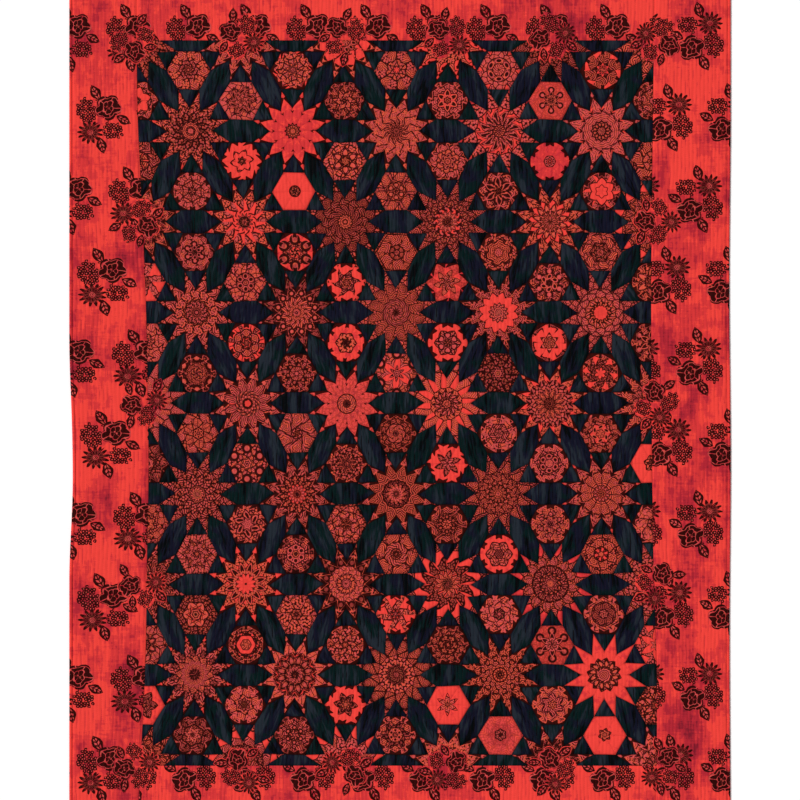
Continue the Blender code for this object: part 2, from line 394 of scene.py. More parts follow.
def relief(flat, cover):
    """Height of the quilted face, where cover goes from 0 on a seam to 1 in the open."""
    x, y = flat[:, 0], flat[:, 1]
    number = line_number(flat)
    line = np.round(number)
    pull = 0.50 + 0.50 * np.sin(53.0 * y + 5.3 * line) * np.cos(23.0 * y - 2.9 * line)
    groove = pull * (1.0 - np.abs(np.sin(math.pi * number))) ** 1.3
    swell = 0.5 * np.sin(31.0 * x + 13.0 * y) + 0.5 * np.sin(-19.0 * x + 37.0 * y + 1.3)
    pucker = np.sin(140.0 * y + 60.0 * np.sin(9.0 * x) + 50.0 * x) * np.sin(71.0 * y - 33.0 * x)
    puff = sizes().patch_rise * (1.0 + 0.12 * swell + 0.14 * pucker)
    return sizes().seam_height + cover * (puff - sizes().groove_depth * groove)


def fall(distance):
    """How much of its height cloth has at a distance from a seam, from 0 to 1."""
    t = np.clip(distance / sizes().seam_slope, 0.0, 1.0)
    return 1.0 - (1.0 - t) ** 2


# Patches


@dataclass
class Patch:
    """A cut piece of cloth on the flat quilt.

    The outline has a row of (x, y, depth) for each corner, and depth is how deep the seam lies
    that runs from it. Middle and turn place the patch's own axes, cut is its place and turn in the
    print, and cloth counts the band's materials: star print, hexagon print, dark cotton.
    """

    outline: list
    middle: tuple
    turn: float
    cloth: int
    cut: tuple
    figure: tuple


def polar(centre, radius, angle):
    """Point at a distance and direction from a centre."""
    return (centre[0] + radius * math.cos(angle), centre[1] + radius * math.sin(angle))


def trimmed(outline):
    """The share of an outline inside the panel's seams, with a deep seam along each cut."""
    half_x, half_y = panel_half()
    for axis, limit, side in ((0, half_x, 1), (0, -half_x, -1), (1, half_y, 1), (1, -half_y, -1)):
        kept = []
        for here, ahead in zip(outline, outline[1:] + outline[:1]):
            room = side * (limit - here[axis])
            room_ahead = side * (limit - ahead[axis])
            leaves = room_ahead < -TOUCH
            if room > -TOUCH:
                kept.append((here[0], here[1], 1.0 if leaves and room < TOUCH else here[2]))
            if min(room, room_ahead) < -TOUCH and max(room, room_ahead) > TOUCH:
                share = room / (room - room_ahead)
                x = here[0] + share * (ahead[0] - here[0])
                y = here[1] + share * (ahead[1] - here[1])
                kept.append((x, y, 1.0 if leaves else here[2]))
        outline = kept
        if not outline:
            return []
    pairs = zip(outline, outline[1:] + outline[:1])
    area = sum(a[0] * b[1] - b[0] * a[1] for a, b in pairs) / 2.0
    return outline if area > TOUCH else []


def stars():
    """Row, column and middle of each star on the panel and just past its seams."""
    for row in range(-1, STAR_ROWS + 2):
        shift = 0.5 if row % 2 == 0 else 0.0
        for column in range(-STARS_ACROSS, STARS_ACROSS + 1):
            place = ((column + shift) * star_pitch(), (row - STAR_ROWS / 2.0) * row_pitch())
            yield row, column, place


def print_figure(dice, plainness, odds, rings, shapes):
    """A star's or hexagon's own zones of the print: ring radius, plainness, ring shape and mood.

    Plainness is 1 where all outside the ring is plain, and -1 where all inside it is.
    """
    plain = dice.choices(plainness, odds)[0]
    return (dice.choice(rings), plain, dice.uniform(*shapes), dice.random())


def print_place(dice):
    """Where a patch is cut from its cloth."""
    return (dice.uniform(-PRINT_REACH, PRINT_REACH), dice.uniform(-PRINT_REACH, PRINT_REACH))


def print_cut(dice):
    """Where, and at what turn, a patch is cut from the print."""
    return (*print_place(dice), dice.uniform(0.0, 2.0 * math.pi))


def star_patches(star, dice):
    """The kites that meet at a star's middle, all cut from nearly one place in the print."""
    notch, tip, step = sizes().notch_radius, tip_radius(), 2.0 * math.pi / STAR_POINTS
    cut, figure = print_cut(dice), print_figure(dice, *STAR_FIGURE)
    for point in range(STAR_POINTS):
        start = point * step
        outline = [
            (*star, INNER_SEAM),
            (*polar(star, notch, start), 1.0),
            (*polar(star, tip, start + step / 2.0), 1.0),
            (*polar(star, notch, start + step), INNER_SEAM),
        ]
        yield Patch(outline, star, start + step / 2.0, 0, strayed(cut, dice), figure)


def strayed(cut, dice):
    """A cut a hair off its place, as scissors leave it."""
    slips = (SCISSOR_SLIP, SCISSOR_SLIP, SCISSOR_TURN)
    return tuple(value + dice.gauss(0.0, slip) for value, slip in zip(cut, slips))


def hexagon_patches(middle, dice):
    """The triangles that meet in the middle of a hexagon, all cut from nearly one place in the print."""
    cut, figure = print_cut(dice), print_figure(dice, *HEXAGON_FIGURE)
    for side in range(6):
        start = side * math.pi / 3.0
        outline = [
            (*middle, INNER_SEAM),
            (*polar(middle, sizes().patch_edge, start), 1.0),
            (*polar(middle, sizes().patch_edge, start + math.pi / 3.0), INNER_SEAM),
        ]
        yield Patch(outline, middle, start + math.pi / 6.0, 1, strayed(cut, dice), figure)


def dark_patch(corners, turn, dice):
    """A patch of plain dark cotton."""
    outline = [(*corner, 1.0) for corner in corners]
    middle = tuple(sum(c[i] for c in corners) / len(corners) for i in (0, 1))
    cut = (*print_place(dice), dice.uniform(-GRAIN_TURN, GRAIN_TURN))
    return Patch(outline, middle, turn, 2, cut, (0.0, 0.0, 0.0, dice.random()))


def small_triangle(star, direction, dice):
    """The dark patch between two tips of a star, on the side of a hexagon."""
    half = math.pi / STAR_POINTS
    corners = [
        polar(star, sizes().notch_radius, direction),
        polar(star, tip_radius(), direction - half),
        polar(star, tip_radius(), direction + half),
    ]
    return dark_patch(corners, dice.uniform(-TRIANGLE_TURN, TRIANGLE_TURN), dice)


def lens(star, direction, dice):
    """The long dark patch between a star and the next one in a direction."""
    other, back, half = polar(star, star_pitch(), direction), direction + math.pi, math.pi / STAR_POINTS
    notch, tip = sizes().notch_radius, tip_radius()
    corners = [
        polar(star, notch, direction),
        polar(star, tip, direction - half),
        polar(other, tip, back + half),
        polar(other, notch, back),
        polar(other, tip, back - half),
        polar(star, tip, direction + half),
    ]
    lean = 0.5 * (direction - math.pi / 2.0) if direction else 0.0
    return dark_patch(corners, lean, dice)


def all_patches():
    """Every patch of the panel, trimmed to its seams and drawn to the flat quilt's width."""
    step = 2.0 * math.pi / STAR_POINTS
    for row, column, star in stars():
        dice = random.Random(1000 * sizes().seed + 50 * row + column)
        found = list(star_patches(star, dice))
        for side in range(6):
            found.append(small_triangle(star, (2 * side + 1) * step, dice))
        for side in range(3):
            found.append(lens(star, 2 * side * step, dice))
        for side in range(2):
            middle = polar(star, star_pitch() / math.sqrt(3.0), (2 * side + 1) * step)
            found += hexagon_patches(middle, dice)
        for patch in found:
            outline = trimmed(patch.outline)
            if outline:
                patch.outline = [(*on_quilt(*hand_sewn(x, y)), depth) for x, y, depth in outline]
                patch.middle = on_quilt(*hand_sewn(*patch.middle))
                yield patch


def on_quilt(x, y):
    """Where a point of the patchwork lies on the flat quilt."""
    return (sizes().centre_shift + sizes().take_up * x, y)


def hand_sewn(x, y):
    """Where a corner of the patchwork ends up once sewn by hand, a little off inside the panel."""
    half_x, half_y = panel_half()
    room = min(half_x - abs(x), half_y - abs(y))
    off = sizes().piecing_error * min(max(room, 0.0) / 0.05, 1.0)
    return (
        x + off * (math.sin(31.0 * x + 17.0 * y + 0.6) + 0.6 * math.sin(83.0 * y - 47.0 * x)),
        y + off * (math.sin(-23.0 * x + 37.0 * y + 2.1) + 0.6 * math.sin(71.0 * x + 59.0 * y + 1.0)),
    )


def patch_points(patch):
    """Mesh points of one patch: the runs along its seams, the points inside, and their cover."""
    corners = np.array(patch.outline)
    ends = np.roll(corners, -1, axis=0)
    run = ends[:, :2] - corners[:, :2]
    length = np.linalg.norm(run, axis=1)
    inward = np.stack([-run[:, 1], run[:, 0]], axis=1) / length[:, None]
    depth = corners[:, 2]

    def room(points):
        return np.einsum("pei,ei->pe", points[:, None, :] - corners[None, :, :2], inward)

    def cover(points):
        return np.min(1.0 - depth * (1.0 - fall(np.maximum(room(points), 0.0))), axis=1)

    counts = np.maximum(np.ceil(length / SEAM_STEP).astype(int), 1)
    side = np.repeat(np.arange(len(corners)), counts)
    step = np.concatenate([np.arange(count) for count in counts])
    seam = corners[side, :2] + run[side] * (step / counts[side])[:, None]
    ring = corners[side, :2] + run[side] * ((step + 0.5) / counts[side])[:, None] + inward[side] * LIP
    ring = ring[depth[side] > INNER_SEAM]
    ring = ring[room(ring).min(axis=1) > 0.95 * LIP]
    inside = grid_points(corners[:, :2].min(axis=0), corners[:, :2].max(axis=0))
    clear = np.where(depth > INNER_SEAM, LIP + LIP_ROOM, INNER_ROOM)
    inside = inside[(room(inside) > clear).all(axis=1)]
    loose = np.concatenate([ring, inside])
    return seam, cover(seam), loose, cover(loose)


def grid_points(low, high):
    """Points on the quilting lines and at thirds between them, in a box on the flat quilt."""
    third = sizes().quilting_pitch / 3.0
    numbers = np.arange(math.floor(low[0] / third) - 1, math.ceil(high[0] / third) + 2) / 3.0
    rows = np.arange(math.floor(low[1] / sizes().row_step), math.ceil(high[1] / sizes().row_step) + 1)
    number, y = (grid.ravel() for grid in np.meshgrid(numbers, rows * sizes().row_step))
    return np.stack([line_x(number, y), y], axis=1)


def rotated(points, angle):
    """Points turned about the origin, by one angle or by an angle each."""
    c, s = np.cos(angle), np.sin(angle)
    return np.stack([points[:, 0] * c - points[:, 1] * s, points[:, 0] * s + points[:, 1] * c], axis=1)


# Meshes


def open_edges(faces):
    """The directed edges of a sheet of faces that no other face shares."""
    edges = {(a, b) for face in faces for a, b in zip(face, face[1:] + face[:1])}
    return sorted(edge for edge in edges if edge[::-1] not in edges)


def boundary_loop(faces):
    """The vertices round the open edge of a flat sheet of faces, in the faces' own direction."""
    following = dict(open_edges(faces))
    start = min(following)
    loop = [start]
    while following[loop[-1]] != start:
        loop.append(following[loop[-1]])
    return loop


def placed(name, data):
    """A new object in the scene, at the origin."""
    thing = bpy.data.objects.new(name, data)
    bpy.context.scene.collection.objects.link(thing)
    return thing


def finished_cloth(name, mesh, maps, materials):
    """A piece with its maps and materials, smooth but for its folds.

    Maps holds a corner array for each UV map, of two columns, or colour attribute, of four.
    """
    for label, values in maps.items():
        values = values.astype(np.float32)
        if values.shape[1] == 2:
            mesh.uv_layers.new(name=label).uv.foreach_set("vector", values.ravel())
        else:
            layer = mesh.color_attributes.new(name=label, type="FLOAT_COLOR", domain="CORNER")
            layer.data.foreach_set("color", values.ravel())
    for material in materials:
        mesh.materials.append(material)
    mesh.shade_smooth()
    mesh.set_sharp_from_angle(angle=FOLD_ANGLE)
    return placed(name, mesh)


def closed_cloth(name, flat, height, faces, floor_z, maps, cloth_of_face, materials):
    """A closed piece: a laid upper face, walls round it, and a flat underside.

    Maps holds a corner array for each UV map or colour attribute, in the order of the faces.
    """
    place = drawn_in(flat)
    loop = boundary_loop(faces)
    count = len(flat)
    below = {v: count + i for i, v in enumerate(loop)}
    points = np.concatenate(
        [
            np.column_stack([place, height]),
            np.column_stack([place[loop], np.full(len(loop), floor_z)]),
        ]
    )
    walls = [(b, a, below[a], below[b]) for a, b in zip(loop, loop[1:] + loop[:1])]
    underside = [below[v] for v in reversed(loop)]
    mesh = bpy.data.meshes.new(name)
    mesh.from_pydata(points.tolist(), [], faces + walls + [underside])
    unseen = 4 * len(walls) + len(underside)
    maps = {
        label: np.concatenate([values, np.zeros((unseen, values.shape[1]))])
        for label, values in maps.items()
    }
    piece = finished_cloth(name, mesh, maps, materials)
    slots = np.concatenate([cloth_of_face, np.zeros(len(walls) + 1)]).astype(np.int32)
    mesh.polygons.foreach_set("material_index", slots)
    mesh.update()
    return piece


def mesh_patches(name, patches, materials):
    """One closed piece of patchwork, its patches sharing the points of their seams."""
    points, covers, loops, known = [], [], [], {}
    for patch in patches:
        seam, seam_cover, loose, loose_cover = patch_points(patch)
        loop = []
        for (x, y), cover in zip(seam, seam_cover):
            key = (round(x, 5), round(y, 5))
            if key not in known:
                known[key] = len(points)
                points.append((x, y))
                covers.append(cover)
            index = known[key]
            covers[index] = min(covers[index], cover)
            loop.append(index)
        loops.append(loop)
        points += [tuple(p) for p in loose]
        covers += list(loose_cover)
    vertices, _, faces, from_vertex, _, from_face = delaunay_2d_cdt(
        [Vector(p) for p in points], [], loops, 1, TOUCH
    )
    flat = np.array([tuple(v) for v in vertices])
    cover = np.array([covers[source[0]] for source in from_vertex])
    owner = np.array([source[0] for source in from_face])
    triangles = np.array(faces)
    corner_flat = flat[triangles.ravel()]
    corner_owner = np.repeat(owner, 3)
    middle = np.array([p.middle for p in patches])[corner_owner]
    turn = np.array([p.turn for p in patches])[corner_owner]
    cut = np.array([p.cut for p in patches])[corner_owner]
    wedge = rotated(corner_flat - middle, -turn)
    maps = {
        "wedge": wedge,
        "cut": rotated(wedge, cut[:, 2]) + cut[:, :2],
        "quilting": np.column_stack([line_number(corner_flat), corner_flat[:, 1]]),
        "seam": np.column_stack([cover[triangles.ravel()], np.zeros(len(corner_owner))]),
        "figure": np.array([p.figure for p in patches])[corner_owner],
    }
    cloth_of_face = np.array([p.cloth for p in patches])[owner]
    faces = [tuple(int(v) for v in face) for face in triangles]
    floor_z = sizes().backing_thickness + CLOTH_GAP
    return closed_cloth(name, flat, relief(flat, cover), faces, floor_z, maps, cloth_of_face, materials)


def edge_steps(low, high, inner):
    """Steps between two edges, with a close one beside each edge."""
    clear = inner[(inner > low + 2 * LIP) & (inner < high - 2 * LIP)]
    return np.concatenate([[low, low + LIP], clear, [high - LIP, high]])


def undrawn(places):
    """The flat, even quilt's points that sewing has pulled in to these places."""
    flat = places.copy()
    for _ in range(3):
        flat = flat + places - drawn_in(flat)
    return flat


def quilt_face(pieces):
    """The upper face of some pieces, to lay others on."""
    points, faces = [], []
    for piece in pieces:
        start = len(points)
        points += [v.co.copy() for v in piece.data.vertices]
        faces += [[start + v for v in p.vertices] for p in piece.data.polygons if p.normal.z > UPWARD]
    return BVHTree.FromPolygons(points, faces)


def height_under(face, x, y):
    """Height of a face at a place."""
    hit = face.ray_cast(Vector((x, y, 0.1)), Vector((0.0, 0.0, -1.0)))[0]
    if hit is None:
        raise RuntimeError(f"nothing to sew on at {x:.3f}, {y:.3f}")
    return hit.z


def motif_outline(form, x, y, length, width, turn):
    """Points round a motif of a spray, just outside its print."""
    count = {"leaf": 28, "berries": 36, "rose": 40, "aster": 78}[form]
    angle = np.linspace(0.0, 2.0 * math.pi, count + 1)[:-1]
    if form == "leaf":
        along_leaf = np.cos(angle)
        shape = np.stack([along_leaf, np.sign(np.sin(angle)) * (1.0 - np.abs(along_leaf) ** 1.7)], axis=1)
        shape[np.abs(np.abs(along_leaf) - 1.0) < TOUCH, 1] = 0.0
    else:
        radius = {
            "berries": 0.99 + 0.05 * np.cos(9.0 * angle),
            "rose": 0.80 + 0.20 * np.abs(np.sin(2.5 * angle)),
            "aster": 0.64 + 0.36 * np.abs(np.cos(6.5 * angle)),
        }[form]
        shape = np.stack([radius * np.cos(angle), radius * np.sin(angle)], axis=1)
    shape = shape * (np.array([length, width]) / 2.0 + SPRAY_MARGIN)
    return rotated(shape, turn) + np.array([x, y])


def grid_cloth(name, columns, rows, height_at, floor_z, material, print_turn=0.0, wanders=False):
    """A closed strip on a grid; its columns follow the quilting lines where it wanders."""
    x, y = (grid.ravel() for grid in np.meshgrid(columns, rows))
    if wanders:
        loose = (x > columns[0] + STRAIGHT_RIM) & (x < columns[-1] - STRAIGHT_RIM)
        x = np.where(loose, x - line_wander(x, y) * sizes().quilting_pitch, x)
    flat = np.stack([x, y], axis=1)
    width = len(columns)
    starts = [j * width + i for j in range(len(rows) - 1) for i in range(width - 1)]
    faces = [(start, start + 1, start + width + 1, start + width) for start in starts]
    order = np.array(faces).ravel()
    lines = np.column_stack([line_number(flat), y])
    maps = {"cut": rotated(flat, print_turn)[order], "quilting": lines[order]}
    return closed_cloth(name, flat, height_at(flat), faces, floor_z, maps, np.zeros(len(faces)), [material])


# Shader building


def is_vector(value):
    """Whether a value or a wire holds three numbers that are worked on one by one."""
    if isinstance(value, Wire):
        return value.socket.type == "VECTOR"
    return isinstance(value, tuple)


def node_for(operation, flipped=False):
    """A method that adds the node for an operation on a wire and another value."""

    def method(wire, other):
        sides = (other, wire) if flipped else (wire, other)
        return wire.graph.worked(operation, *sides)

    return method


class Wire:
    """A node's output. A sum or product of wires adds the node that works it out."""

    __add__, __radd__ = node_for("ADD"), node_for("ADD", flipped=True)
    __sub__, __rsub__ = node_for("SUBTRACT"), node_for("SUBTRACT", flipped=True)
    __mul__, __rmul__ = node_for("MULTIPLY"), node_for("MULTIPLY", flipped=True)
    __lt__, __gt__ = node_for("LESS_THAN"), node_for("GREATER_THAN")
    __truediv__, __pow__ = node_for("DIVIDE"), node_for("POWER")

    def __init__(self, graph, socket):
        self.graph = graph
        self.socket = socket

    def __abs__(self):
        return self.graph.math("ABSOLUTE", self)


class Wires:
    """A node's outputs as wires, by name or by number."""

    def __init__(self, graph, node):
        self.graph = graph
        self.node = node

    def __getitem__(self, key):
        return Wire(self.graph, self.node.outputs[key])


class Graph:
    """Adds nodes to one tree and joins them."""

    def __init__(self, tree):
        self.tree = tree
        self.count = 0

    def add(self, kind, **settings):
        node = self.tree.nodes.new(kind)
        node.location = (180 * (self.count // 6), -190 * (self.count % 6))
        self.count += 1
        for key, value in settings.items():
            setattr(node, key, value)
        return node

    def put(self, socket, value):
        """Join a wire to an input, or set a plain value on it."""
        if isinstance(value, Wire):
            self.tree.links.new(value.socket, socket)
        elif value is not None:
            socket.default_value = value

    def made(self, kind, values=None, **settings):
        """The outputs of a new node, with values on its inputs by name or by number."""
        node = self.add(kind, **settings)
        for key, value in (values or {}).items():
            self.put(node.inputs[key], value)
        return Wires(self, node)

    def math(self, operation, *values, clamp=False):
        sides = dict(enumerate(values))
        return self.made("ShaderNodeMath", sides, operation=operation, use_clamp=clamp)[0]

    def vector(self, operation, a, b=None):
        number = 1 if operation in ("LENGTH", "DOT_PRODUCT") else 0
        return self.made("ShaderNodeVectorMath", {0: a, 1: b}, operation=operation)[number]

    def length(self, a):
        return self.vector("LENGTH", a)

    def sine(self, a):
        return self.math("SINE", a)

    def fraction(self, a):
        return self.math("FRACT", a)

    def larger(self, a, b):
        return self.math("MAXIMUM", a, b)

    def worked(self, operation, a, b):
        """A sum, product or comparison; a vector times one number is scaled by it."""
        if not is_vector(a) and not is_vector(b):
            return self.math(operation, a, b)
        if operation == "MULTIPLY" and is_vector(a) != is_vector(b):
            a, scale = (a, b) if is_vector(a) else (b, a)
            return self.made("ShaderNodeVectorMath", {0: a, "Scale": scale}, operation="SCALE")[0]
        return self.vector(operation, a, b)

    def mix(self, share, a, b, blend="MIX"):
        """Colour a with a share of colour b laid over it."""
        a, b = (value if isinstance(value, Wire) else (*value, 1.0) for value in (a, b))
        return self.made("ShaderNodeMix", {0: share, 6: a, 7: b}, data_type="RGBA", blend_type=blend)[2]

    def between(self, value, low, high, start=0.0, end=1.0):
        """From start, where a value is low or under, smoothly to end, where it is high or over."""
        values = dict(enumerate((value, low, high, start, end)))
        return self.made("ShaderNodeMapRange", values, interpolation_type="SMOOTHSTEP")[0]

    def within(self, value, low, high):
        """1 where a value is low or under, and 0 where it is high or over."""
        return self.between(value, low, high, 1.0, 0.0)

    def split(self, vector):
        return self.made("ShaderNodeSeparateXYZ", {0: vector})

    def join(self, x, y, z=0.0):
        return self.made("ShaderNodeCombineXYZ", {0: x, 1: y, 2: z})[0]

    def noise(self, vector, scale, detail=2.0, roughness=0.5):
        values = {"Vector": vector, "Scale": scale, "Detail": detail, "Roughness": roughness}
        return self.made("ShaderNodeTexNoise", values)

    def streaks(self, place, across, down, detail=2.0, roughness=0.5):
        """Noise with a scale across the cloth and another along it."""
        return self.noise(place * (across, down, 1.0), 1.0, detail, roughness)[0]

    def cells(self, vector, scale, feature="F1", randomness=1.0):
        values = {"Vector": vector, "Scale": scale, "Randomness": randomness}
        return self.made("ShaderNodeTexVoronoi", values, voronoi_dimensions="2D", feature=feature)

    def turned(self, vector, angle):
        values = {"Vector": vector, "Angle": angle}
        return self.made("ShaderNodeVectorRotate", values, rotation_type="Z_AXIS")[0]

    def use(self, group, **values):
        """The outputs of a group, with values on its inputs by name."""
        values = {label.replace("_", " ").capitalize(): value for label, value in values.items()}
        return self.made("ShaderNodeGroup", values, node_tree=group)


def grown(name, mesh, tree, values):
    """What a geometry tree makes of a mesh, as a plain mesh piece."""
    seedling = placed(name, mesh)
    modifier = seedling.modifiers.new("Stitches", "NODES")
    modifier.node_group = tree
    for item in tree.interface.items_tree:
        if item.item_type == "SOCKET" and item.in_out == "INPUT" and item.name in values:
            modifier[item.identifier] = values[item.name]
    seedling.update_tag()
    scene_now = bpy.context.evaluated_depsgraph_get()
    plain = bpy.data.meshes.new_from_object(seedling.evaluated_get(scene_now), depsgraph=scene_now)
    bpy.data.objects.remove(seedling)
    plain.name = name
    plain.shade_smooth()
    return placed(name, plain)


SOCKETS = {
    "vector": "NodeSocketVector",
    "value": "NodeSocketFloat",
    "number": "NodeSocketInt",
    "colour": "NodeSocketColor",
    "geometry": "NodeSocketGeometry",
    "material": "NodeSocketMaterial",
}


def new_group(name, inputs, outputs, tree_kind="ShaderNodeTree"):
    """An empty node group, as its graph and its inputs. Inputs and outputs list names by kind."""
    tree = bpy.data.node_groups.new(name, tree_kind)
    for side, sockets in (("INPUT", inputs), ("OUTPUT", outputs)):
        for kind, labels in sockets.items():
            for label in labels:
                tree.interface.new_socket(name=label, in_out=side, socket_type=SOCKETS[kind])
    graph = Graph(tree)
    return graph, graph.made("NodeGroupInput")


def finish_group(graph, **values):
    """Join a group's results to its output sockets."""
    node = graph.add("NodeGroupOutput")
    for label, value in values.items():
        graph.put(node.inputs[label.replace("_", " ").capitalize()], value)
    return graph.tree


def shared_group(name, build):
    """The node group of this name, built once."""
    return bpy.data.node_groups.get(name) or build(name)


def build_stitches(name):
    """Geometry nodes that lay one stitch on each point, along the point's direction."""
    graph, given = new_group(
        name,
        {
            "geometry": ["Geometry"],
            "value": ["Stitch length", "Thread width", "Unevenness"],
            "number": ["Seed"],
            "material": ["Thread"],
        },
        {"geometry": ["Geometry"]},
        "GeometryNodeTree",
    )
    bead = graph.made("GeometryNodeMeshUVSphere", {"Segments": 6, "Rings": 4, "Radius": 0.5})["Mesh"]
    named = {"Name": "direction"}
    heading = graph.made("GeometryNodeInputNamedAttribute", named, data_type="FLOAT_VECTOR")[0]
    turned = graph.made("FunctionNodeAlignRotationToVector", {"Vector": heading}, axis="Z")[0]
    limits = {2: 1.0 - given["Unevenness"], 3: 1.0 + given["Unevenness"], "Seed": given["Seed"]}
    uneven = graph.made("FunctionNodeRandomValue", limits, data_type="FLOAT")[1]
    width = given["Thread width"]
    size = graph.join(width, width, given["Stitch length"] * uneven)
    spread = {"Points": given["Geometry"], "Instance": bead, "Rotation": turned, "Scale": size}
    stitches = graph.made("GeometryNodeInstanceOnPoints", spread)[0]
    real = graph.made("GeometryNodeRealizeInstances", {"Geometry": stitches})[0]
    finish = graph.made("GeometryNodeSetMaterial", {"Geometry": real, "Material": given["Thread"]})[0]
    return finish_group(graph, geometry=finish)


def build_weave(name):
    """Plain weave: threads that cross over and under, as a height and a mottle of uneven thread tone with a
    little painted shade where threads dip under.
    """
    graph, given = new_group(name, {"vector": ["Place"]}, {"value": ["Height", "Mottle"]})
    x, y, _ = graph.split(given["Place"] * (WEAVE_THREADS * math.pi))
    over = graph.sine(x) * graph.sine(y)
    slub_x = graph.streaks(given["Place"], 900.0, 40.0)
    slub_y = graph.streaks(given["Place"], 40.0, 900.0)
    mottle = (slub_x + slub_y) * 0.5
    height = (over + 1.0) * (mottle + 0.5)
    # A little painted shade where the threads dip under
    mottle = mottle + over * 0.05
    return finish_group(graph, height=height, mottle=mottle)


def build_quilting(name):
    """Quilting lines: a groove on each line, the stitches in it, the puckers beside it, and a mask for
    painted shade in the creases beside it.
    """
    outputs = {"value": ["Height", "Pucker", "Thread", "Crease"]}
    graph, given = new_group(name, {"vector": ["Lines"]}, outputs)
    number, along_line, _ = graph.split(given["Lines"])
    off = abs(graph.fraction(number + 0.5) - 0.5)
    on_line = graph.within(off, 0.0, 0.055)
    shift = graph.math("ROUND", number) * 0.0021
    beat = graph.fraction((along_line + shift) / QUILTING_STITCH)
    stitch = graph.within(abs(beat - 0.5), 0.26, 0.34)
    slack = graph.streaks(given["Lines"], 0.9, 24.0, 2.0)
    groove = graph.within(off, 0.0, 0.3) * graph.between(slack, 0.35, 0.65, 0.15, 1.0)
    tug = groove * (1.0 - stitch * 0.35)
    thread = on_line * stitch
    height = thread * 0.25 - tug
    drag = graph.streaks(given["Lines"], 0.85, 210.0, 2.0)
    # Where painted shade darkens the creases beside a quilting line
    crease_shade = graph.within(off, 0.03, 0.26) * graph.between(slack, 0.51, 0.62)
    return finish_group(graph, height=height, pucker=drag, thread=thread, crease=crease_shade)


def build_dyed_ground(name):
    """Hand-dyed red ground: bright, with streaked scarlet, crimson and maroon clouds."""
    dyes = ["Bright", "Scarlet", "Crimson", "Maroon"]
    inputs = {"vector": ["Place"], "colour": dyes, "value": ["Clouds"]}
    graph, given = new_group(name, inputs, {"colour": ["Colour"]})
    place = given["Place"]
    depth = graph.streaks(place, 7.5, 4.6, 4.0, 0.6)
    for across, down, detail, roughness, share in CLOUD_LAYERS:
        depth = depth + (graph.streaks(place, across, down, detail, roughness) - 0.5) * share
    depth = depth + (given["Clouds"] - 0.5) * 0.3
    red = given["Bright"]
    for dye, low, high in DYE_BANDS:
        red = graph.mix(graph.between(depth, low, high), red, given[dye])
    return finish_group(graph, colour=red)


def motif_axes(graph, given):
    """A place on a motif's own axes, where its half-length and half-width are 1."""
    moved = graph.turned(given["Place"] - given["Middle"], given["Turn"] * -1.0)
    return moved / given["Half size"]


def motif_round(graph, given):
    """A place's angle and distance round a motif's middle, on the motif's own axes."""
    place = motif_axes(graph, given)
    x, y, _ = graph.split(place)
    return graph.math("ARCTAN2", y, x), graph.length(place)


MOTIF_INPUTS = {"vector": ["Place", "Middle", "Half size"], "value": ["Turn"]}
MOTIF_OUTPUTS = {"value": ["Ink", "Fill"]}
PRINT_OUTPUTS = {"value": ["Ink", "Tone", "Warmth", "Plain"]}


def build_leaf(name):
    """A pointed leaf with a thick outline, a midrib and side veins."""
    graph, given = new_group(name, MOTIF_INPUTS, MOTIF_OUTPUTS)
    x, y, _ = graph.split(motif_axes(graph, given))
    side = abs(y)
    bulge = 1.0 - abs(x) ** 1.7
    edge = side / graph.larger(bulge, 0.001)
    fill = (edge < 1.0) * (bulge > 0.0)
    rim = graph.between(edge, 0.38, 0.54)
    rib = graph.within(side, 0.05, 0.13)
    vein_place = x * 13.0 - side * 7.0
    veins = graph.between(graph.sine(vein_place), 0.0, 0.5)
    ink = graph.larger(graph.larger(rim, rib), veins)
    return finish_group(graph, ink=ink * fill, fill=fill)


def build_berries(name):
    """A bunch of round berries, each lit in the middle and parted by dark gaps."""
    graph, given = new_group(name, MOTIF_INPUTS, MOTIF_OUTPUTS)
    cells = graph.cells(given["Place"], 112.0, randomness=0.45)
    moved = graph.turned(cells["Position"] - given["Middle"], given["Turn"] * -1.0)
    inside = graph.length(moved / given["Half size"]) < 0.95
    reach = cells["Distance"]
    fill = inside * graph.within(reach, 0.54, 0.59)
    gap = graph.between(reach, 0.15, 0.23)
    ink = gap * fill
    return finish_group(graph, ink=ink, fill=fill)


def build_rose(name):
    """A full rose: rings of broad dark petals with lit edges between them."""
    graph, given = new_group(name, MOTIF_INPUTS, MOTIF_OUTPUTS)
    angle, radius = motif_round(graph, given)
    scallop = abs(graph.sine(angle * 2.5))
    reach = radius / (0.8 + scallop * 0.2)
    fill = graph.within(reach, 0.97, 1.0)
    twist = angle * 2.0 + radius * 6.0
    ring = reach * 2.45 + graph.sine(twist) * 0.24
    petal = graph.between(graph.fraction(ring), 0.12, 0.2)
    whorl = graph.math("FLOOR", ring) * 1.3
    split_wave = graph.sine(angle * 2.5 + whorl)
    gap = graph.between(abs(split_wave), 0.05, 0.14)
    ink = petal * gap * fill
    return finish_group(graph, ink=ink, fill=fill)


def build_aster(name):
    """A spiky blossom of narrow dark petals round a dotted eye."""
    graph, given = new_group(name, MOTIF_INPUTS, MOTIF_OUTPUTS)
    angle, radius = motif_round(graph, given)
    spike = abs(graph.math("COSINE", angle * 6.5))
    reach = radius / (0.5 + spike * 0.5)
    fill = graph.within(reach, 0.96, 1.0)
    petal = graph.between(abs(spike - 0.84), 0.03, 0.08)
    petal = graph.larger(petal, graph.between(reach, 0.66, 0.78))
    eye = graph.between(radius, 0.24, 0.29)
    dots = graph.between(graph.sine(radius * 60.0), -0.2, 0.4)
    ink = graph.mix(eye, dots, petal)
    return finish_group(graph, ink=ink * fill, fill=fill)


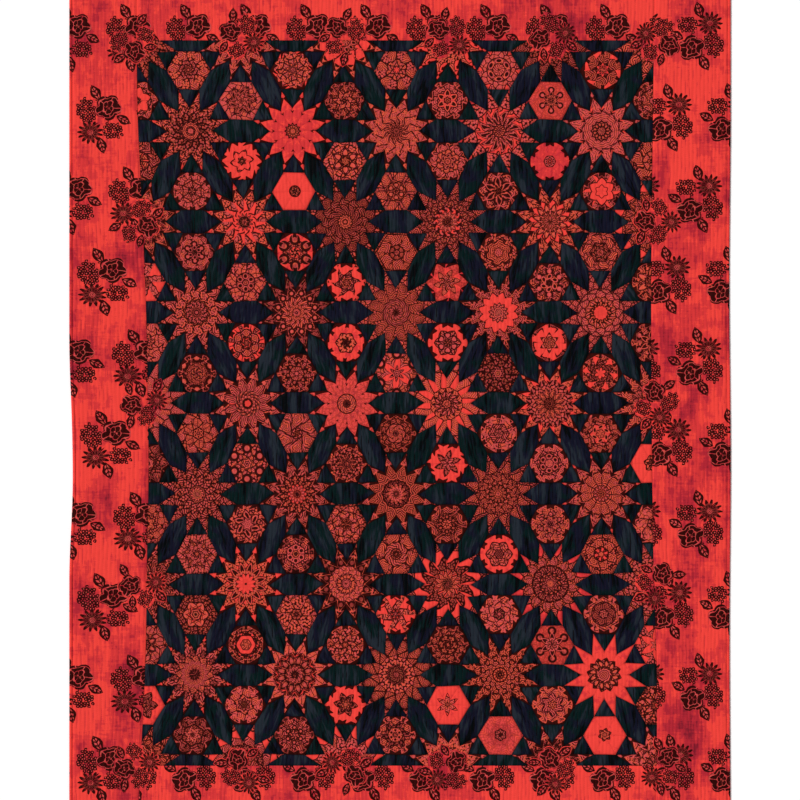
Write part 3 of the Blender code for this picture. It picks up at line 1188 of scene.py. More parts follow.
def build_stem(name):
    """A thin dark stem between two places."""
    graph, given = new_group(name, {"vector": ["Place", "Start", "Run"]}, {"value": ["Ink"]})
    moved = given["Place"] - given["Start"]
    length = graph.length(given["Run"])
    reach = graph.vector("DOT_PRODUCT", moved, given["Run"])
    share = graph.math("DIVIDE", reach, length * length, clamp=True)
    bow = graph.sine(share * math.pi) * 0.005
    nearest = given["Run"] * share + graph.join(bow, 0.0)
    off = graph.length(moved - nearest)
    return finish_group(graph, ink=graph.within(off, 0.0014, 0.0022))


MOTIF_GROUPS = {"leaf": build_leaf, "berries": build_berries, "rose": build_rose, "aster": build_aster}


def build_spray(name):
    """One flower spray, from its table of motifs and stems."""
    graph, given = new_group(name, {"vector": ["Place"]}, MOTIF_OUTPUTS)
    ink, fill = 0.0, 0.0
    for form, x, y, length, width, turn in SPRAY_MOTIFS:
        group = shared_group("Print " + form, MOTIF_GROUPS[form])
        made = graph.use(
            group,
            place=given["Place"],
            middle=(x, y, 0.0),
            half_size=(length / 2.0, width / 2.0, 1.0),
            turn=turn,
        )
        under = 1.0 - made["Fill"]
        ink = ink * under + made["Ink"]
        fill = graph.larger(fill, made["Fill"])
    for x, y, to_x, to_y in SPRAY_STEMS:
        made = graph.use(
            shared_group("Print stem", build_stem),
            place=given["Place"],
            start=(x, y, 0.0),
            run=(to_x - x, to_y - y, 0.0),
        )
        free = 1.0 - fill
        ink = graph.larger(ink, made["Ink"] * free)
    return finish_group(graph, ink=ink, fill=fill)


def build_spray_repeat(name):
    """Places on the printed strip, each measured from the middle of its own spray."""
    graph, given = new_group(name, {"vector": ["Place"]}, {"vector": ["Place"]})
    x, y, _ = graph.split(given["Place"])
    row = graph.math("FLOOR", y / SPRAY_DROP)
    half_step = graph.math("FLOORED_MODULO", row, 2.0) * 0.5
    column = graph.fraction(x / SPRAY_WIDTH + half_step)
    own_x = (column - 0.5) * SPRAY_WIDTH
    share = graph.fraction(y / SPRAY_DROP) - 0.5
    own_y = share * SPRAY_DROP
    return finish_group(graph, place=graph.join(own_x, own_y) * (1.0 / PRINT_SCALE))


def build_print_engraving(name):
    """The dense flower print: ruffled petals, berries and veined leaves, parted by dark outlines.

    Weight goes from thin print at -0.3 to heavy print at 0.3.
    """
    inputs = {"vector": ["Place"], "value": ["Open ground", "Weight"]}
    graph, given = new_group(name, inputs, PRINT_OUTPUTS)
    place = given["Place"] * 1.34
    bend = graph.noise(place, 34.0, 1.0)[1] - GREY
    bent = place + bend * 0.015
    region = graph.cells(bent, 22.0)
    pick, tone, heading = graph.split(region["Color"])
    bloom = bent - region["Position"]
    bloom_x, bloom_y, _ = graph.split(bloom)
    round_bloom = graph.math("ARCTAN2", bloom_y, bloom_x)
    ruffle = graph.sine(round_bloom * 5.0 + heading)
    arcs = graph.length(graph.join(bloom_x, bloom_y)) * (2.0 * math.pi / 0.007)
    petal_wave = graph.sine(arcs + ruffle * 1.9)
    petals = 0.5 + petal_wave * 0.5
    berry = graph.cells(bent, 108.0, randomness=0.6)["Distance"]
    berries = graph.larger(
        graph.between(berry, 0.1, 0.6), graph.between(berry, 0.04, 0.12, 0.9, 0.0)
    )
    leaf = graph.cells(bent, 50.0)
    leaf_edge = graph.cells(bent, 50.0, feature="DISTANCE_TO_EDGE")["Distance"]
    lean, _, _ = graph.split(leaf["Color"])
    vein_x, vein_y, _ = graph.split(graph.turned(bent - leaf["Position"], lean * (2.0 * math.pi)))
    vein = vein_x * 930.0 + abs(vein_y) * 620.0
    veins = 0.42 + graph.sine(vein) * 0.42
    leaves = graph.larger(graph.within(leaf_edge, 0.03, 0.14), veins)
    depth = graph.mix(pick < 0.74, leaves, petals)
    depth = graph.mix(pick < 0.4, depth, berries)
    middle = 0.5 - given["Weight"]
    ink = graph.between(depth, middle - 0.2, middle + 0.2)
    open_ground = pick < given["Open ground"]
    ink = graph.mix(open_ground, ink, (0.0, 0.0, 0.0))
    outline = graph.cells(bent, 22.0, feature="DISTANCE_TO_EDGE")["Distance"]
    ink = graph.larger(ink, graph.within(outline, 0.025, 0.06))
    return finish_group(graph, ink=ink, tone=tone, warmth=heading, plain=open_ground)


def build_cut_print(name):
    """The flower print as one patch of a star or hexagon shows it, in zones round the middle.

    Tip and taper give the patch's outer edge: it runs at taper times the distance to the tip, on
    each side of the patch's axis by share, so a star's kite has a share of 1 and a hexagon's
    triangle, whose edge lies across its axis, a share of 0.
    """
    values = ["Half angle", "Tip", "Taper", "Share", "Ring", "Plainness", "Shape", "Mood"]
    graph, given = new_group(name, {"vector": ["Place", "Wedge"], "value": values}, PRINT_OUTPUTS)

    def chance(spread):
        return graph.fraction(given["Mood"] * spread)

    radial, lateral, _ = graph.split(given["Wedge"])
    radius = graph.length(given["Wedge"])
    twist = graph.larger(chance(11.3) - 0.66, 0.0) * 50.0
    turn = graph.math("ARCTAN2", lateral, radial) + twist * radius
    lap = graph.fraction(turn / (given["Half angle"] * 2.0) + 0.5)
    across = abs(lap - 0.5) * 2.0
    flare = given["Shape"] * (1.0 - across * 2.0)
    ring = given["Ring"] * (1.0 + flare)
    eye = ring * (0.25 + given["Mood"] * 0.3)
    outside = radius > ring
    beyond_eye = radius > eye
    zone = outside + beyond_eye
    place = given["Place"] + (0.37, 0.21, 0.0) * zone
    beat = graph.sine(given["Mood"] * 29.0 + zone * 2.3)
    seen = graph.use(
        shared_group("Print engraving", build_print_engraving),
        place=place,
        open_ground=given["Mood"] * 0.16,
        weight=beat * 0.17 + -0.15,
    )
    inside_plain = graph.larger(given["Plainness"] * -1.0, 0.0)
    inside_plain = inside_plain * beyond_eye
    plain = graph.mix(outside, inside_plain, graph.larger(given["Plainness"], 0.0))
    ring_off = abs(radius - ring)
    eye_off = abs(radius - eye)
    line = graph.larger(
        graph.within(ring_off, 0.0008, 0.0024),
        graph.between(eye_off, 0.0006, 0.002, 0.9, 0.0),
    )
    bead_place = given["Wedge"] - graph.join(given["Ring"] * (1.1 + given["Shape"]), 0.0)
    bead_reach = graph.length(bead_place) / (given["Ring"] * given["Half angle"] * 0.95)
    bead = graph.within(bead_reach, 0.85, 1.0) * (chance(7.3) > 0.86)
    bead_ink = graph.between(bead_reach, 0.38, 0.52)
    ink = seen["Ink"] * (1.0 - plain)
    ink = graph.mix(bead, graph.larger(ink, line), bead_ink)
    petal_middle = (ring + eye) * 0.5
    petal_long = (ring - eye) * 0.46
    petal_wide = petal_middle * given["Half angle"] * 0.86
    petal_reach = graph.length(graph.join((radial - petal_middle) / petal_long, lateral / petal_wide))
    petal = graph.within(petal_reach, 0.9, 1.0) * (chance(3.1) > 0.58)
    petal_rim = graph.between(petal_reach, 0.55, 0.68)
    petal_ink = graph.mix(chance(17.7) > 0.5, petal_rim, 1.0 - petal_rim)
    ink = graph.mix(petal, ink, petal_ink)
    bare = 1.0 - graph.larger(bead, petal)
    plain = graph.larger(plain, seen["Plain"]) * bare
    tone = seen["Tone"] - beat * 0.3
    edge = (given["Tip"] - radial) * given["Taper"] - abs(lateral) * given["Share"]
    wave = graph.sine(radial * 300.0 + (across * (2.0 * math.pi) + given["Mood"] * 40.0))
    wave = 1.0 + wave * 0.8
    rim_width = 0.006 + given["Share"] * -0.0015
    narrowing = graph.between(given["Tip"] - radial, 0.004, 0.03, 0.7, 0.0)
    narrowing = 1.0 - given["Share"] * narrowing
    rim = wave * rim_width * narrowing
    rimmed = chance(5.9) > 0.38
    rim_off = edge - rim
    dark_rim = graph.within(rim_off, -0.0006, 0.0006) * rimmed
    lit_rim = graph.within(abs(rim_off - 0.0018), 0.0006, 0.0014) * rimmed
    ink = ink * (1.0 - lit_rim)
    ink = graph.larger(ink, dark_rim)
    return finish_group(graph, ink=ink, tone=tone, warmth=seen["Warmth"], plain=plain)


# Cloth finishes


def cotton(name, roughness=0.82, sheen_tint=(1.0, 0.25, 0.22)):
    """A matt cotton material, its graph and its surface shader."""
    material = bpy.data.materials.new(name)
    material.use_nodes = True
    graph = Graph(material.node_tree)
    surface = material.node_tree.nodes["Principled BSDF"]
    for label, value in (
        ("Roughness", roughness),
        ("Specular IOR Level", 0.03),
        ("Sheen Weight", 0.012),
        ("Sheen Roughness", 0.45),
        ("Sheen Tint", (*sheen_tint, 1.0)),
    ):
        surface.inputs[label].default_value = value
    return material, graph, surface


def raise_cloth(graph, surface, height, strength):
    """Bump a surface by a height in metres."""
    values = {"Height": height, "Strength": strength, "Distance": 1.0}
    graph.put(surface.inputs["Normal"], graph.made("ShaderNodeBump", values)[0])


def cloth_bump(graph, surface, lines, place, strength=0.6):
    """Raise the weave and the quilting lines, and return masks of thread, of the weave's mottle, and of
    painted shade in creases.
    """
    weave = graph.use(shared_group("Plain weave", build_weave), place=place)
    height = weave["Height"] * WEAVE_RELIEF
    thread, crease = 0.0, 0.0
    if lines is not None:
        quilting = graph.use(shared_group("Quilting lines", build_quilting), lines=lines)
        height = height + quilting["Height"] * LINE_RELIEF
        height = height + quilting["Pucker"] * PUCKER_RELIEF
        thread, crease = quilting["Thread"], quilting["Crease"]
    raise_cloth(graph, surface, height, strength)
    return thread, weave["Mottle"], crease


def uv_map(graph, name):
    """A named map of the piece."""
    return graph.made("ShaderNodeUVMap", uv_map=name)[0]


def object_place(graph):
    """Object coordinates, which are the quilt's own."""
    return graph.made("ShaderNodeTexCoord")["Object"]


def ground_colour(graph, place, clouds):
    """The dyed ground at a place."""
    dyes = {tone: (*getattr(colours(), tone), 1.0) for tone in ("bright", "scarlet", "crimson", "maroon")}
    group = shared_group("Dyed ground", build_dyed_ground)
    return graph.use(group, place=place, clouds=clouds, **dyes)["Colour"]


def dimmed(graph, colour, tone):
    """A colour times a tone from 0 to 1."""
    return graph.mix(1.0, colour, graph.join(tone, tone, tone), "MULTIPLY")


def shaded(graph, colour, mottle, darkest):
    """A colour darkened by the weave's mottle: uneven thread tone, and a little painted shade where threads
    dip under.
    """
    return dimmed(graph, colour, graph.between(mottle, 0.2, 0.8, darkest, 1.0))


def painted_seam_shade(graph, colour):
    """A colour with painted shade where the cloth turns down into a seam."""
    cover, _, _ = graph.split(uv_map(graph, "seam"))
    return dimmed(graph, colour, graph.between(cover, 0.0, 0.85, 0.5, 1.0))


def printed_patch_cotton(name, points, tip, taper, share):
    """Red print as the patches round a middle with this many points show it."""
    material, graph, surface = cotton(name)
    c = colours()
    cut = uv_map(graph, "cut")
    figure = graph.made("ShaderNodeAttribute", attribute_name="figure")
    ring, plainness, shape = graph.split(figure["Color"])
    mood = figure["Alpha"]
    seen = graph.use(
        shared_group("Cut print", build_cut_print),
        place=cut,
        wedge=uv_map(graph, "wedge"),
        half_angle=math.pi / points,
        tip=tip,
        taper=taper,
        share=share,
        ring=ring,
        plainness=plainness,
        shape=shape,
        mood=mood,
    )
    ground = ground_colour(graph, cut, 0.1)
    mellow = graph.noise(cut, 75.0, 3.0)[0]
    light = seen["Tone"] * 0.46 + mellow * 0.9
    light = light + mood * 0.14
    blush = seen["Warmth"] * 0.25 + graph.noise(cut, 90.0, 1.0)[0]
    rose = graph.mix(graph.between(blush, 0.5, 0.76), c.rose, c.coral)
    lit = graph.mix(graph.between(light, 0.22, 0.91), c.dusk, rose)
    fleck = graph.noise(cut, 160.0, 1.0)[0]
    lit = graph.mix(graph.between(fleck, 0.6, 0.7, 0.0, 0.6), lit, c.olive)
    red = graph.mix(seen["Plain"], lit, ground)
    colour = graph.mix(seen["Ink"] * 0.965, red, c.ink)
    thread, mottle, _ = cloth_bump(graph, surface, uv_map(graph, "quilting"), object_place(graph))
    colour = graph.mix(thread * 0.3, colour, c.thread)
    graph.put(surface.inputs["Base Color"], painted_seam_shade(graph, shaded(graph, colour, mottle, 0.84)))
    return material


def dark_patch_cotton():
    """Teal-black and navy-black cotton with a soft sheen, streaks of painted highlight and painted shade
    along its folds, and painted shade in its puckered creases.
    """
    material, graph, surface = cotton("Dark patches", 0.62, (0.4, 0.8, 1.0))
    c = colours()
    cut = uv_map(graph, "cut")
    figure = graph.made("ShaderNodeAttribute", attribute_name="figure")
    broad = graph.streaks(cut, 46.0, 8.0, 3.0)
    fine = graph.streaks(cut, 190.0, 24.0, 3.0)
    drift = graph.noise(cut, 26.0, 3.0)[0]
    hue = drift + figure["Alpha"] * 0.22
    colour = graph.mix(graph.between(hue, 0.5, 0.7), c.teal, c.navy)
    # Streaks of painted highlight and painted shade along the cotton's folds; the same streaks vary its
    # roughness
    fold_shading = broad * 0.72 + fine * 0.28
    colour = graph.mix(graph.between(fold_shading, 0.5, 0.6), colour, c.painted_fold_highlight)
    colour = graph.mix(graph.within(fold_shading, 0.4, 0.46), colour, c.pitch)
    lines = uv_map(graph, "quilting")
    thread, mottle, crease = cloth_bump(graph, surface, lines, object_place(graph), 0.8)
    # Painted shade in the creases along the quilting lines
    colour = graph.mix(crease * 0.95, colour, c.pitch)
    colour = graph.mix(thread * 0.1, colour, c.thread)
    graph.put(surface.inputs["Base Color"], painted_seam_shade(graph, shaded(graph, colour, mottle, 0.7)))
    graph.put(surface.inputs["Roughness"], graph.between(fold_shading + mottle, 0.6, 1.4, 0.54, 0.76))
    return material


def border_cotton(name, repeats, quilted=True):
    """Red ground with flower sprays, either repeated down a strip or one to a piece."""
    material, graph, surface = cotton(name)
    c = colours()
    cut = uv_map(graph, "cut")
    spray_place = cut
    if repeats:
        spray_place = graph.use(shared_group("Spray repeat", build_spray_repeat), place=cut)["Place"]
    wobble = graph.noise(cut, 90.0, 2.0)[1] - GREY
    spray_place = spray_place + wobble * 0.0045
    spray = graph.use(shared_group("Flower spray", build_spray), place=spray_place)
    ground = ground_colour(graph, object_place(graph), 0.44)
    halo = graph.between(graph.length(spray_place), 0.02, 0.075, 0.75, 0.0)
    halo = halo * graph.between(graph.noise(cut, 48.0, 3.0)[0], 0.45, 0.62)
    ground = graph.mix(halo, ground, c.crimson)
    lines = uv_map(graph, "quilting") if quilted else None
    thread, mottle, crease = cloth_bump(graph, surface, lines, object_place(graph))
    # Painted shade, toward crimson, in the creases along the quilting lines
    ground = graph.mix(crease * 0.5, ground, c.crimson)
    shade = graph.noise(cut, 70.0, 2.0)[0]
    inner = graph.mix(graph.between(shade, 0.38, 0.56), c.crimson, c.rose)
    fleck = graph.between(graph.noise(cut, 130.0, 1.0)[0], 0.52, 0.64, 0.0, 0.5)
    inner = graph.mix(fleck, inner, c.olive)
    colour = graph.mix(spray["Fill"] * 0.85, ground, inner)
    colour = graph.mix(spray["Ink"] * 0.975, colour, c.ink)
    colour = graph.mix(thread * 0.4, colour, c.thread)
    graph.put(surface.inputs["Base Color"], shaded(graph, colour, mottle, 0.84))
    return material


def backing_cotton():
    """Dark dyed cotton with no flowers."""
    material, graph, surface = cotton("Backing cotton")
    ground = ground_colour(graph, object_place(graph), 0.3)
    colour = graph.mix(0.62, ground, colours().maroon)
    _, mottle, _ = cloth_bump(graph, surface, None, object_place(graph))
    graph.put(surface.inputs["Base Color"], shaded(graph, colour, mottle, 0.86))
    return material


def cotton_thread():
    """Twisted red thread, darker between its turns: painted shade where the twist's bump dips."""
    material, graph, surface = cotton("Cotton thread", 0.6)
    twist = graph.noise(object_place(graph), 900.0, 1.0)[0]
    c = colours()
    colour = graph.mix(graph.between(twist, 0.35, 0.65), c.maroon, c.crimson)
    graph.put(surface.inputs["Base Color"], colour)
    raise_cloth(graph, surface, twist * 0.0001, 1.0)
    return material


# Operators


def carry(piece, slot, *nodes):
    """Set a finished piece on the quilt's body, in the place of CAD nodes."""
    if nodes:
        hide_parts(*nodes)
    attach(piece, "root")


class QUILT_OT_patchwork(bpy.types.Operator):
    """Build the pieced centre, in bands that part along the patches' own seams."""

    bl_idname = "quilt.patchwork"
    bl_label = "Pieced centre"

    def execute(self, context):
        materials = [
            printed_patch_cotton("Star patches", STAR_POINTS, tip_radius(), self.taper(), 1.0),
            printed_patch_cotton("Hexagon patches", 6, HEXAGON_REACH * sizes().patch_edge, 1.0, 0.0),
            dark_patch_cotton(),
        ]
        bands = [[] for _ in range(STARS_ACROSS)]
        left, right = side_seams()
        for patch in all_patches():
            middle = sum(corner[0] for corner in patch.outline) / len(patch.outline)
            band = int((middle - left) / (right - left) * STARS_ACROSS + TOUCH)
            bands[min(band, STARS_ACROSS - 1)].append(patch)
        for number, patches in enumerate(bands):
            piece = mesh_patches(f"patchwork_band_{number + 1}", patches, materials)
            carry(piece, "pieced_cotton", "pieced_centre")
        return {"FINISHED"}

    def taper(self):
        """How much half-width a star's ray gains for each length back from its tip."""
        half = math.pi / STAR_POINTS
        notch = sizes().notch_radius
        return notch * math.sin(half) / (tip_radius() - notch * math.cos(half))


class QUILT_OT_borders(bpy.types.Operator):
    """Build the four printed borders, with the quilting lines raised in them."""

    bl_idname = "quilt.borders"
    bl_label = "Borders"

    def execute(self, context):
        material = border_cotton("Printed border", True)
        left, right = side_seams()
        panel_y = panel_half()[1]
        edge_x = half_width() - sizes().binding_width
        edge_y = half_length() - sizes().binding_width
        for name, limits, turn in (
            ("border_left", (-edge_x, left, -edge_y, edge_y), 0.0),
            ("border_right", (right, edge_x, -edge_y, edge_y), math.pi),
            ("border_top", (left, right, panel_y, edge_y), 0.0),
            ("border_bottom", (left, right, -edge_y, -panel_y), math.pi),
        ):
            piece = self.border(name, limits, turn, material)
            carry(piece, "border_cotton", name)
        return {"FINISHED"}

    def border(self, name, limits, turn, material):
        third = sizes().quilting_pitch / 3.0
        columns = np.arange(math.ceil(limits[0] / third), limits[1] / third) * third
        rows = np.arange(math.ceil(limits[2] / sizes().row_step), limits[3] / sizes().row_step)

        def height_at(flat):
            x, y = flat[:, 0], flat[:, 1]
            room = np.minimum.reduce([x - limits[0], limits[1] - x, y - limits[2], limits[3] - y])
            return relief(flat, fall(np.maximum(room, 0.0)))

        columns = edge_steps(limits[0], limits[1], columns)
        rows = edge_steps(limits[2], limits[3], rows * sizes().row_step)
        floor_z = sizes().backing_thickness + CLOTH_GAP
        return grid_cloth("sewn_" + name, columns, rows, height_at, floor_z, material, turn, wanders=True)


class QUILT_OT_binding(bpy.types.Operator):
    """Build the rounded binding strips along the quilt's edges."""

    bl_idname = "quilt.binding"
    bl_label = "Binding"

    def execute(self, context):
        material = border_cotton("Binding cotton", True, quilted=False)
        out_x, out_y = half_width(), half_length()
        in_x, in_y = out_x - sizes().binding_width, out_y - sizes().binding_width
        for name, limits, across, turn in (
            ("binding_left", (-out_x, -in_x, -out_y, out_y), 0, 0.0),
            ("binding_right", (in_x, out_x, -out_y, out_y), 0, math.pi),
            ("binding_bottom", (-in_x, in_x, -out_y, -in_y), 1, math.pi),
            ("binding_top", (-in_x, in_x, in_y, out_y), 1, 0.0),
        ):
            piece = self.strip("folded_" + name, limits, across, turn, material)
            carry(piece, "binding_cotton", name)
        return {"FINISHED"}

    def strip(self, name, limits, across, turn, material):
        spans = ((limits[0], limits[1]), (limits[2], limits[3]))
        low, high = spans[across]
        start, end = spans[1 - across]
        fold = low + (high - low) * FOLD_STEPS
        run = np.linspace(start, end, int((end - start) / BINDING_STEP))

        def height_at(flat):
            t = (flat[:, across] - low) / (high - low)
            place = flat[:, 1 - across]
            crown = 0.42 + 0.58 * np.sqrt(np.clip(np.sin(math.pi * t), 0.0, 1.0))
            pucker = 1.0 + 0.035 * np.sin(360.0 * place + 3.0 * np.sin(29.0 * place))
            pucker = pucker + 0.02 * np.sin(95.0 * place)
            return sizes().binding_height * crown * pucker / 1.06

        steps = (fold, run) if across == 0 else (run, fold)
        return grid_cloth(name, *steps, height_at, 0.0, material, turn)


class QUILT_OT_backing(bpy.types.Operator):
    """Build the plain backing cloth, flat on the surface."""

    bl_idname = "quilt.backing"
    bl_label = "Backing"

    def execute(self, context):
        x = half_width() - sizes().binding_width
        y = half_length() - sizes().binding_width
        columns, rows = np.linspace(-x, x, BACKING_COLUMNS), np.linspace(-y, y, BACKING_ROWS)
        piece = grid_cloth("backing_cloth", columns, rows, self.height_at, 0.0, backing_cotton())
        carry(piece, "backing_cotton")
        return {"FINISHED"}

    def height_at(self, flat):
        return np.full(len(flat), sizes().backing_thickness)


class QUILT_OT_sprays(bpy.types.Operator):
    """Sew cut-out flower sprays over the panel's seams, one on each half star."""

    bl_idname = "quilt.sprays"
    bl_label = "Sewn-on sprays"

    def execute(self, context):
        material = border_cotton("Sewn-on sprays", False)
        face = quilt_face([o for o in bpy.data.objects if o.name.startswith(("patchwork_", "sewn_"))])
        reach_x, reach_y = panel_half()
        rows = [row * row_pitch() - reach_y for row in range(0, STAR_ROWS + 1, 2)]
        columns = [column * star_pitch() - reach_x for column in range(1, STARS_ACROSS)]
        for name, places, outward in (
            ("sprays_left", [(-reach_x, y) for y in rows], (-OUT_TO_SIDE, 0.0)),
            ("sprays_right", [(reach_x, y) for y in rows], (OUT_TO_SIDE, 0.0)),
            ("sprays_top", [(x, reach_y) for x in columns], (0.0, OUT_TO_END)),
            ("sprays_bottom", [(x, -reach_y) for x in columns], (0.0, -OUT_TO_END)),
        ):
            dice = random.Random(f"{sizes().seed} {name}")
            flat = np.array([on_quilt(*place) for place in places]) + np.array(outward)
            sites = [
                (*place, dice.uniform(0.0, 2.0 * math.pi), dice.choice((-1.0, 1.0)))
                for place in drawn_in(flat)
            ]
            self.sprays(name, sites, dice, face, material)
        return {"FINISHED"}

    def sprays(self, name, sites, dice, face, material):
        loops, points = [], []
        for x, y, turn, side in sites:
            left_out = dice.randrange(len(SPRAY_MOTIFS) - 1)
            for number, motif in enumerate(SPRAY_MOTIFS):
                if number != left_out:
                    outline = motif_outline(*motif) * sizes().spray_scale * np.array([side, 1.0])
                    outline = rotated(outline, turn)[:: int(side)] + np.array([x, y])
                    loops.append(list(range(len(points), len(points) + len(outline))))
                    points += [tuple(p) for p in outline]
            near = np.arange(-SPRAY_REACH, SPRAY_REACH, SPRAY_STEP)
            points += [(x + a, y + b) for a in near for b in near]
        vertices, _, faces, *_ = delaunay_2d_cdt([Vector(p) for p in points], [], loops, 1, TOUCH)
        triangles = np.array(faces)
        used, triangles = np.unique(triangles, return_inverse=True)
        triangles = triangles.reshape(-1, 3)
        place = np.array([tuple(v) for v in vertices])[used]
        ground = np.array([height_under(face, x, y) for x, y in place])
        upper = [tuple(int(v) for v in t) for t in triangles]
        rim = open_edges(upper)
        edge = np.zeros(len(place), dtype=bool)
        edge[[a for a, _ in rim]] = True
        thick = sizes().cloth_thickness
        top = np.column_stack([place, ground + np.where(edge, SPRAY_EDGE * thick, thick)])
        below = np.column_stack([place, ground - SPRAY_SINK])
        count = len(place)
        walls = [(b, a, a + count, b + count) for a, b in rim]
        mesh = bpy.data.meshes.new(name)
        lower = [tuple(v + count for v in reversed(t)) for t in upper]
        mesh.from_pydata(np.concatenate([top, below]).tolist(), [], upper + lower + walls)
        middles = np.array([(x, y) for x, y, *_ in sites])
        owner = np.argmin(np.linalg.norm(place[:, None] - middles[None], axis=2), axis=1)
        turns = np.array([turn for _, _, turn, _ in sites])[owner]
        sides = np.array([side for *_, side in sites])[owner]
        cut = rotated(place - middles[owner], -turns) / sizes().spray_scale
        cut[:, 0] *= sides
        flat = undrawn(place)
        lines = np.column_stack([line_number(flat), flat[:, 1]])
        corners = np.array([loop.vertex_index for loop in mesh.loops]) % count
        maps = {"cut": cut[corners], "quilting": lines[corners]}
        carry(finished_cloth(name, mesh, maps, [material]), "border_cotton")


class QUILT_OT_stitches(bpy.types.Operator):
    """Sew the edge stitches of the binding and of the sprays."""

    bl_idname = "quilt.stitches"
    bl_label = "Edge stitches"

    def execute(self, context):
        thread = cotton_thread()
        names = ("patchwork_", "sewn_", "folded_", "sprays_")
        face = quilt_face([o for o in bpy.data.objects if o.name.startswith(names)])
        rows = [self.spray_row(o) for o in bpy.data.objects if o.name.startswith("sprays_")]
        for name, slot, places, runs in rows + [self.binding_row()]:
            piece = self.stitches(name, places, runs, face, thread)
            carry(piece, slot)
        return {"FINISHED"}

    def spray_row(self, sprays):
        """Places and directions of the stitches just inside the edges of some sewn-on sprays."""
        mesh = sprays.data
        upper = [tuple(p.vertices) for p in mesh.polygons if max(p.vertices) < len(mesh.vertices) // 2]
        ends = np.array([[mesh.vertices[v].co[:2] for v in edge] for edge in open_edges(upper)])
        run = ends[:, 1] - ends[:, 0]
        inward = np.stack([-run[:, 1], run[:, 0]], axis=1)
        inward *= SPRAY_INSET / np.maximum(np.linalg.norm(inward, axis=1), TOUCH)[:, None]
        return sprays.name + "_stitches", "border_cotton", ends.mean(axis=1) + inward, run

    def binding_row(self):
        """Places and directions of the stitches along the binding's inner edge."""
        inset = sizes().binding_width - BINDING_INSET
        x, y = half_width() - inset, half_length() - inset
        places, runs = [], []
        for start, end in (((-x, -y), (x, -y)), ((x, -y), (x, y)), ((x, y), (-x, y)), ((-x, y), (-x, -y))):
            run = np.array(end) - np.array(start)
            count = int(np.linalg.norm(run) / (sizes().stitch_length * STITCH_SPACING))
            share = (np.arange(count) + 0.5) / count
            places.append(np.array(start) + share[:, None] * run)
            runs.append(np.repeat(run[None], count, axis=0))
        return "binding_stitches", "binding_cotton", drawn_in(np.concatenate(places)), np.concatenate(runs)

    def stitches(self, name, places, runs, face, thread):
        heading = runs / np.linalg.norm(runs, axis=1)[:, None]
        half = 0.5 * sizes().stitch_length * heading
        back = np.array([height_under(face, x, y) for x, y in places - half])
        fore = np.array([height_under(face, x, y) for x, y in places + half])
        height = (back + fore) / 2.0 + STITCH_RISE * sizes().thread_width
        mesh = bpy.data.meshes.new(name + "_places")
        mesh.from_pydata(np.column_stack([places, height]).tolist(), [], [])
        layer = mesh.attributes.new("direction", "FLOAT_VECTOR", "POINT")
        rise = np.column_stack([2.0 * half, fore - back]).astype(np.float32)
        layer.data.foreach_set("vector", rise.ravel())
        tree = shared_group("Edge stitches", build_stitches)
        return grown(name, mesh, tree, {
            "Stitch length": sizes().stitch_length,
            "Thread width": sizes().thread_width,
            "Unevenness": UNEVENNESS,
            "Seed": sizes().seed,
            "Thread": thread,
        })


class QUILT_OT_cut_sizes(bpy.types.Operator):
    """Read the bounds of the borders and the patchwork; nothing is recorded."""

    bl_idname = "quilt.cut_sizes"
    bl_label = "Cut sizes"

    def execute(self, context):
        objects = bpy.data.objects
        backing = objects["backing_cloth"]
        x, y = half_width() - sizes().binding_width, half_length() - sizes().binding_width
        for cloth in [o for o in objects if o.name.startswith(("sewn_border_", "patchwork_"))]:
            low, high = (Vector(cloth.bound_box[i]) for i in (0, 6))
        return {"FINISHED"}


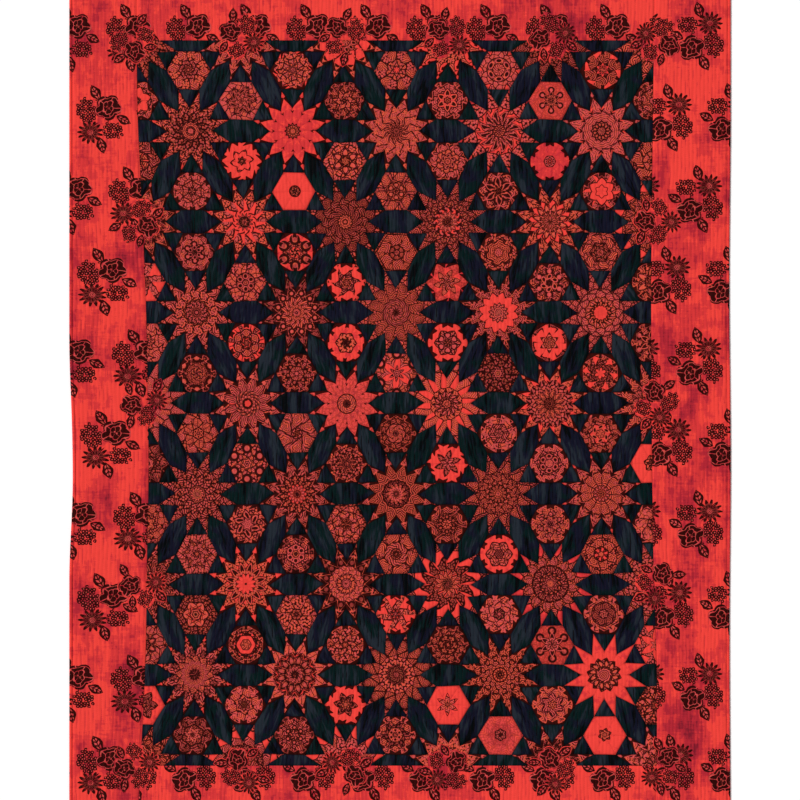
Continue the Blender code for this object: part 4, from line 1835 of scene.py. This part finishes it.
class QUILT_OT_stage(bpy.types.Operator):
    """Add the floor, the light and the camera over the quilt."""

    bl_idname = "quilt.stage"
    bl_label = "Stage"

    def execute(self, context):
        settings = context.scene.quilt_stage
        self.floor(settings)
        self.world(settings)
        self.key_light(settings)
        self.camera(settings)
        context.scene.view_settings.view_transform = "Standard"
        return {"FINISHED"}

    def floor(self, settings):
        half, drop = 7.0, 0.0004
        mesh = bpy.data.meshes.new("floor")
        corners = [(-half, -half, -drop), (half, -half, -drop), (half, half, -drop), (-half, half, -drop)]
        mesh.from_pydata(corners, [], [(0, 1, 2, 3)])
        material = bpy.data.materials.new("Pale floor")
        material.use_nodes = True
        surface = material.node_tree.nodes["Principled BSDF"]
        surface.inputs["Base Color"].default_value = (*settings.floor, 1.0)
        surface.inputs["Roughness"].default_value = 0.9
        mesh.materials.append(material)
        placed("floor", mesh)

    def world(self, settings):
        world = bpy.data.worlds.new("Soft room")
        world.use_nodes = True
        background = world.node_tree.nodes["Background"].inputs
        background["Color"].default_value = (1.0, 1.0, 1.0, 1.0)
        background["Strength"].default_value = settings.room_light
        bpy.context.scene.world = world

    def key_light(self, settings):
        """A soft, distant light from the upper left, even over the whole quilt."""
        data = bpy.data.lights.new("Key light", "SUN")
        data.energy = settings.key_light
        data.angle = settings.key_spread
        beam = Vector((0.9, -0.45, -0.95))
        placed("Key light", data).rotation_euler = beam.to_track_quat("-Z", "Y").to_euler()

    def camera(self, settings):
        data = bpy.data.cameras.new("Camera")
        data.lens = settings.lens
        camera = placed("Camera", data)
        distance = settings.view_width * settings.lens / data.sensor_width
        camera.location = (0.0, settings.view_y, distance)
        bpy.context.scene.camera = camera


class QUILT_PT_pieces(bpy.types.Panel):
    """Lists the quilt's pieces and sizes in the sidebar."""

    bl_label = "Pieced star quilt"
    bl_space_type = "VIEW_3D"
    bl_region_type = "UI"
    bl_category = "Quilt"

    def draw(self, context):
        for operator in OPERATORS:
            self.layout.operator(operator.bl_idname)
        for group in (context.scene.quilt_sizes, context.scene.quilt_colours, context.scene.quilt_stage):
            for name in group.bl_rna.properties.keys():
                if name not in ("rna_type", "name"):
                    self.layout.prop(group, name)


SETTINGS = {"quilt_sizes": QuiltSizes, "quilt_colours": QuiltColours, "quilt_stage": StageSettings}
OPERATORS = (
    QUILT_OT_patchwork,
    QUILT_OT_borders,
    QUILT_OT_binding,
    QUILT_OT_backing,
    QUILT_OT_sprays,
    QUILT_OT_stitches,
    QUILT_OT_cut_sizes,
    QUILT_OT_stage,
)


def register():
    for group in SETTINGS.values():
        bpy.utils.register_class(group)
    for name, group in SETTINGS.items():
        setattr(bpy.types.Scene, name, PointerProperty(type=group))
    for operator in OPERATORS:
        bpy.utils.register_class(operator)
    bpy.utils.register_class(QUILT_PT_pieces)


def unregister():
    bpy.utils.unregister_class(QUILT_PT_pieces)
    for operator in reversed(OPERATORS):
        bpy.utils.unregister_class(operator)
    for name in SETTINGS:
        delattr(bpy.types.Scene, name)
    for group in SETTINGS.values():
        bpy.utils.unregister_class(group)


def main():
    register()
    bpy.ops.quilt.patchwork()
    bpy.ops.quilt.borders()
    bpy.ops.quilt.binding()
    bpy.ops.quilt.backing()
    bpy.ops.quilt.sprays()
    bpy.ops.quilt.stitches()
    bpy.ops.quilt.cut_sizes()
    bpy.ops.quilt.stage()


if __name__ == "__main__":
    main()
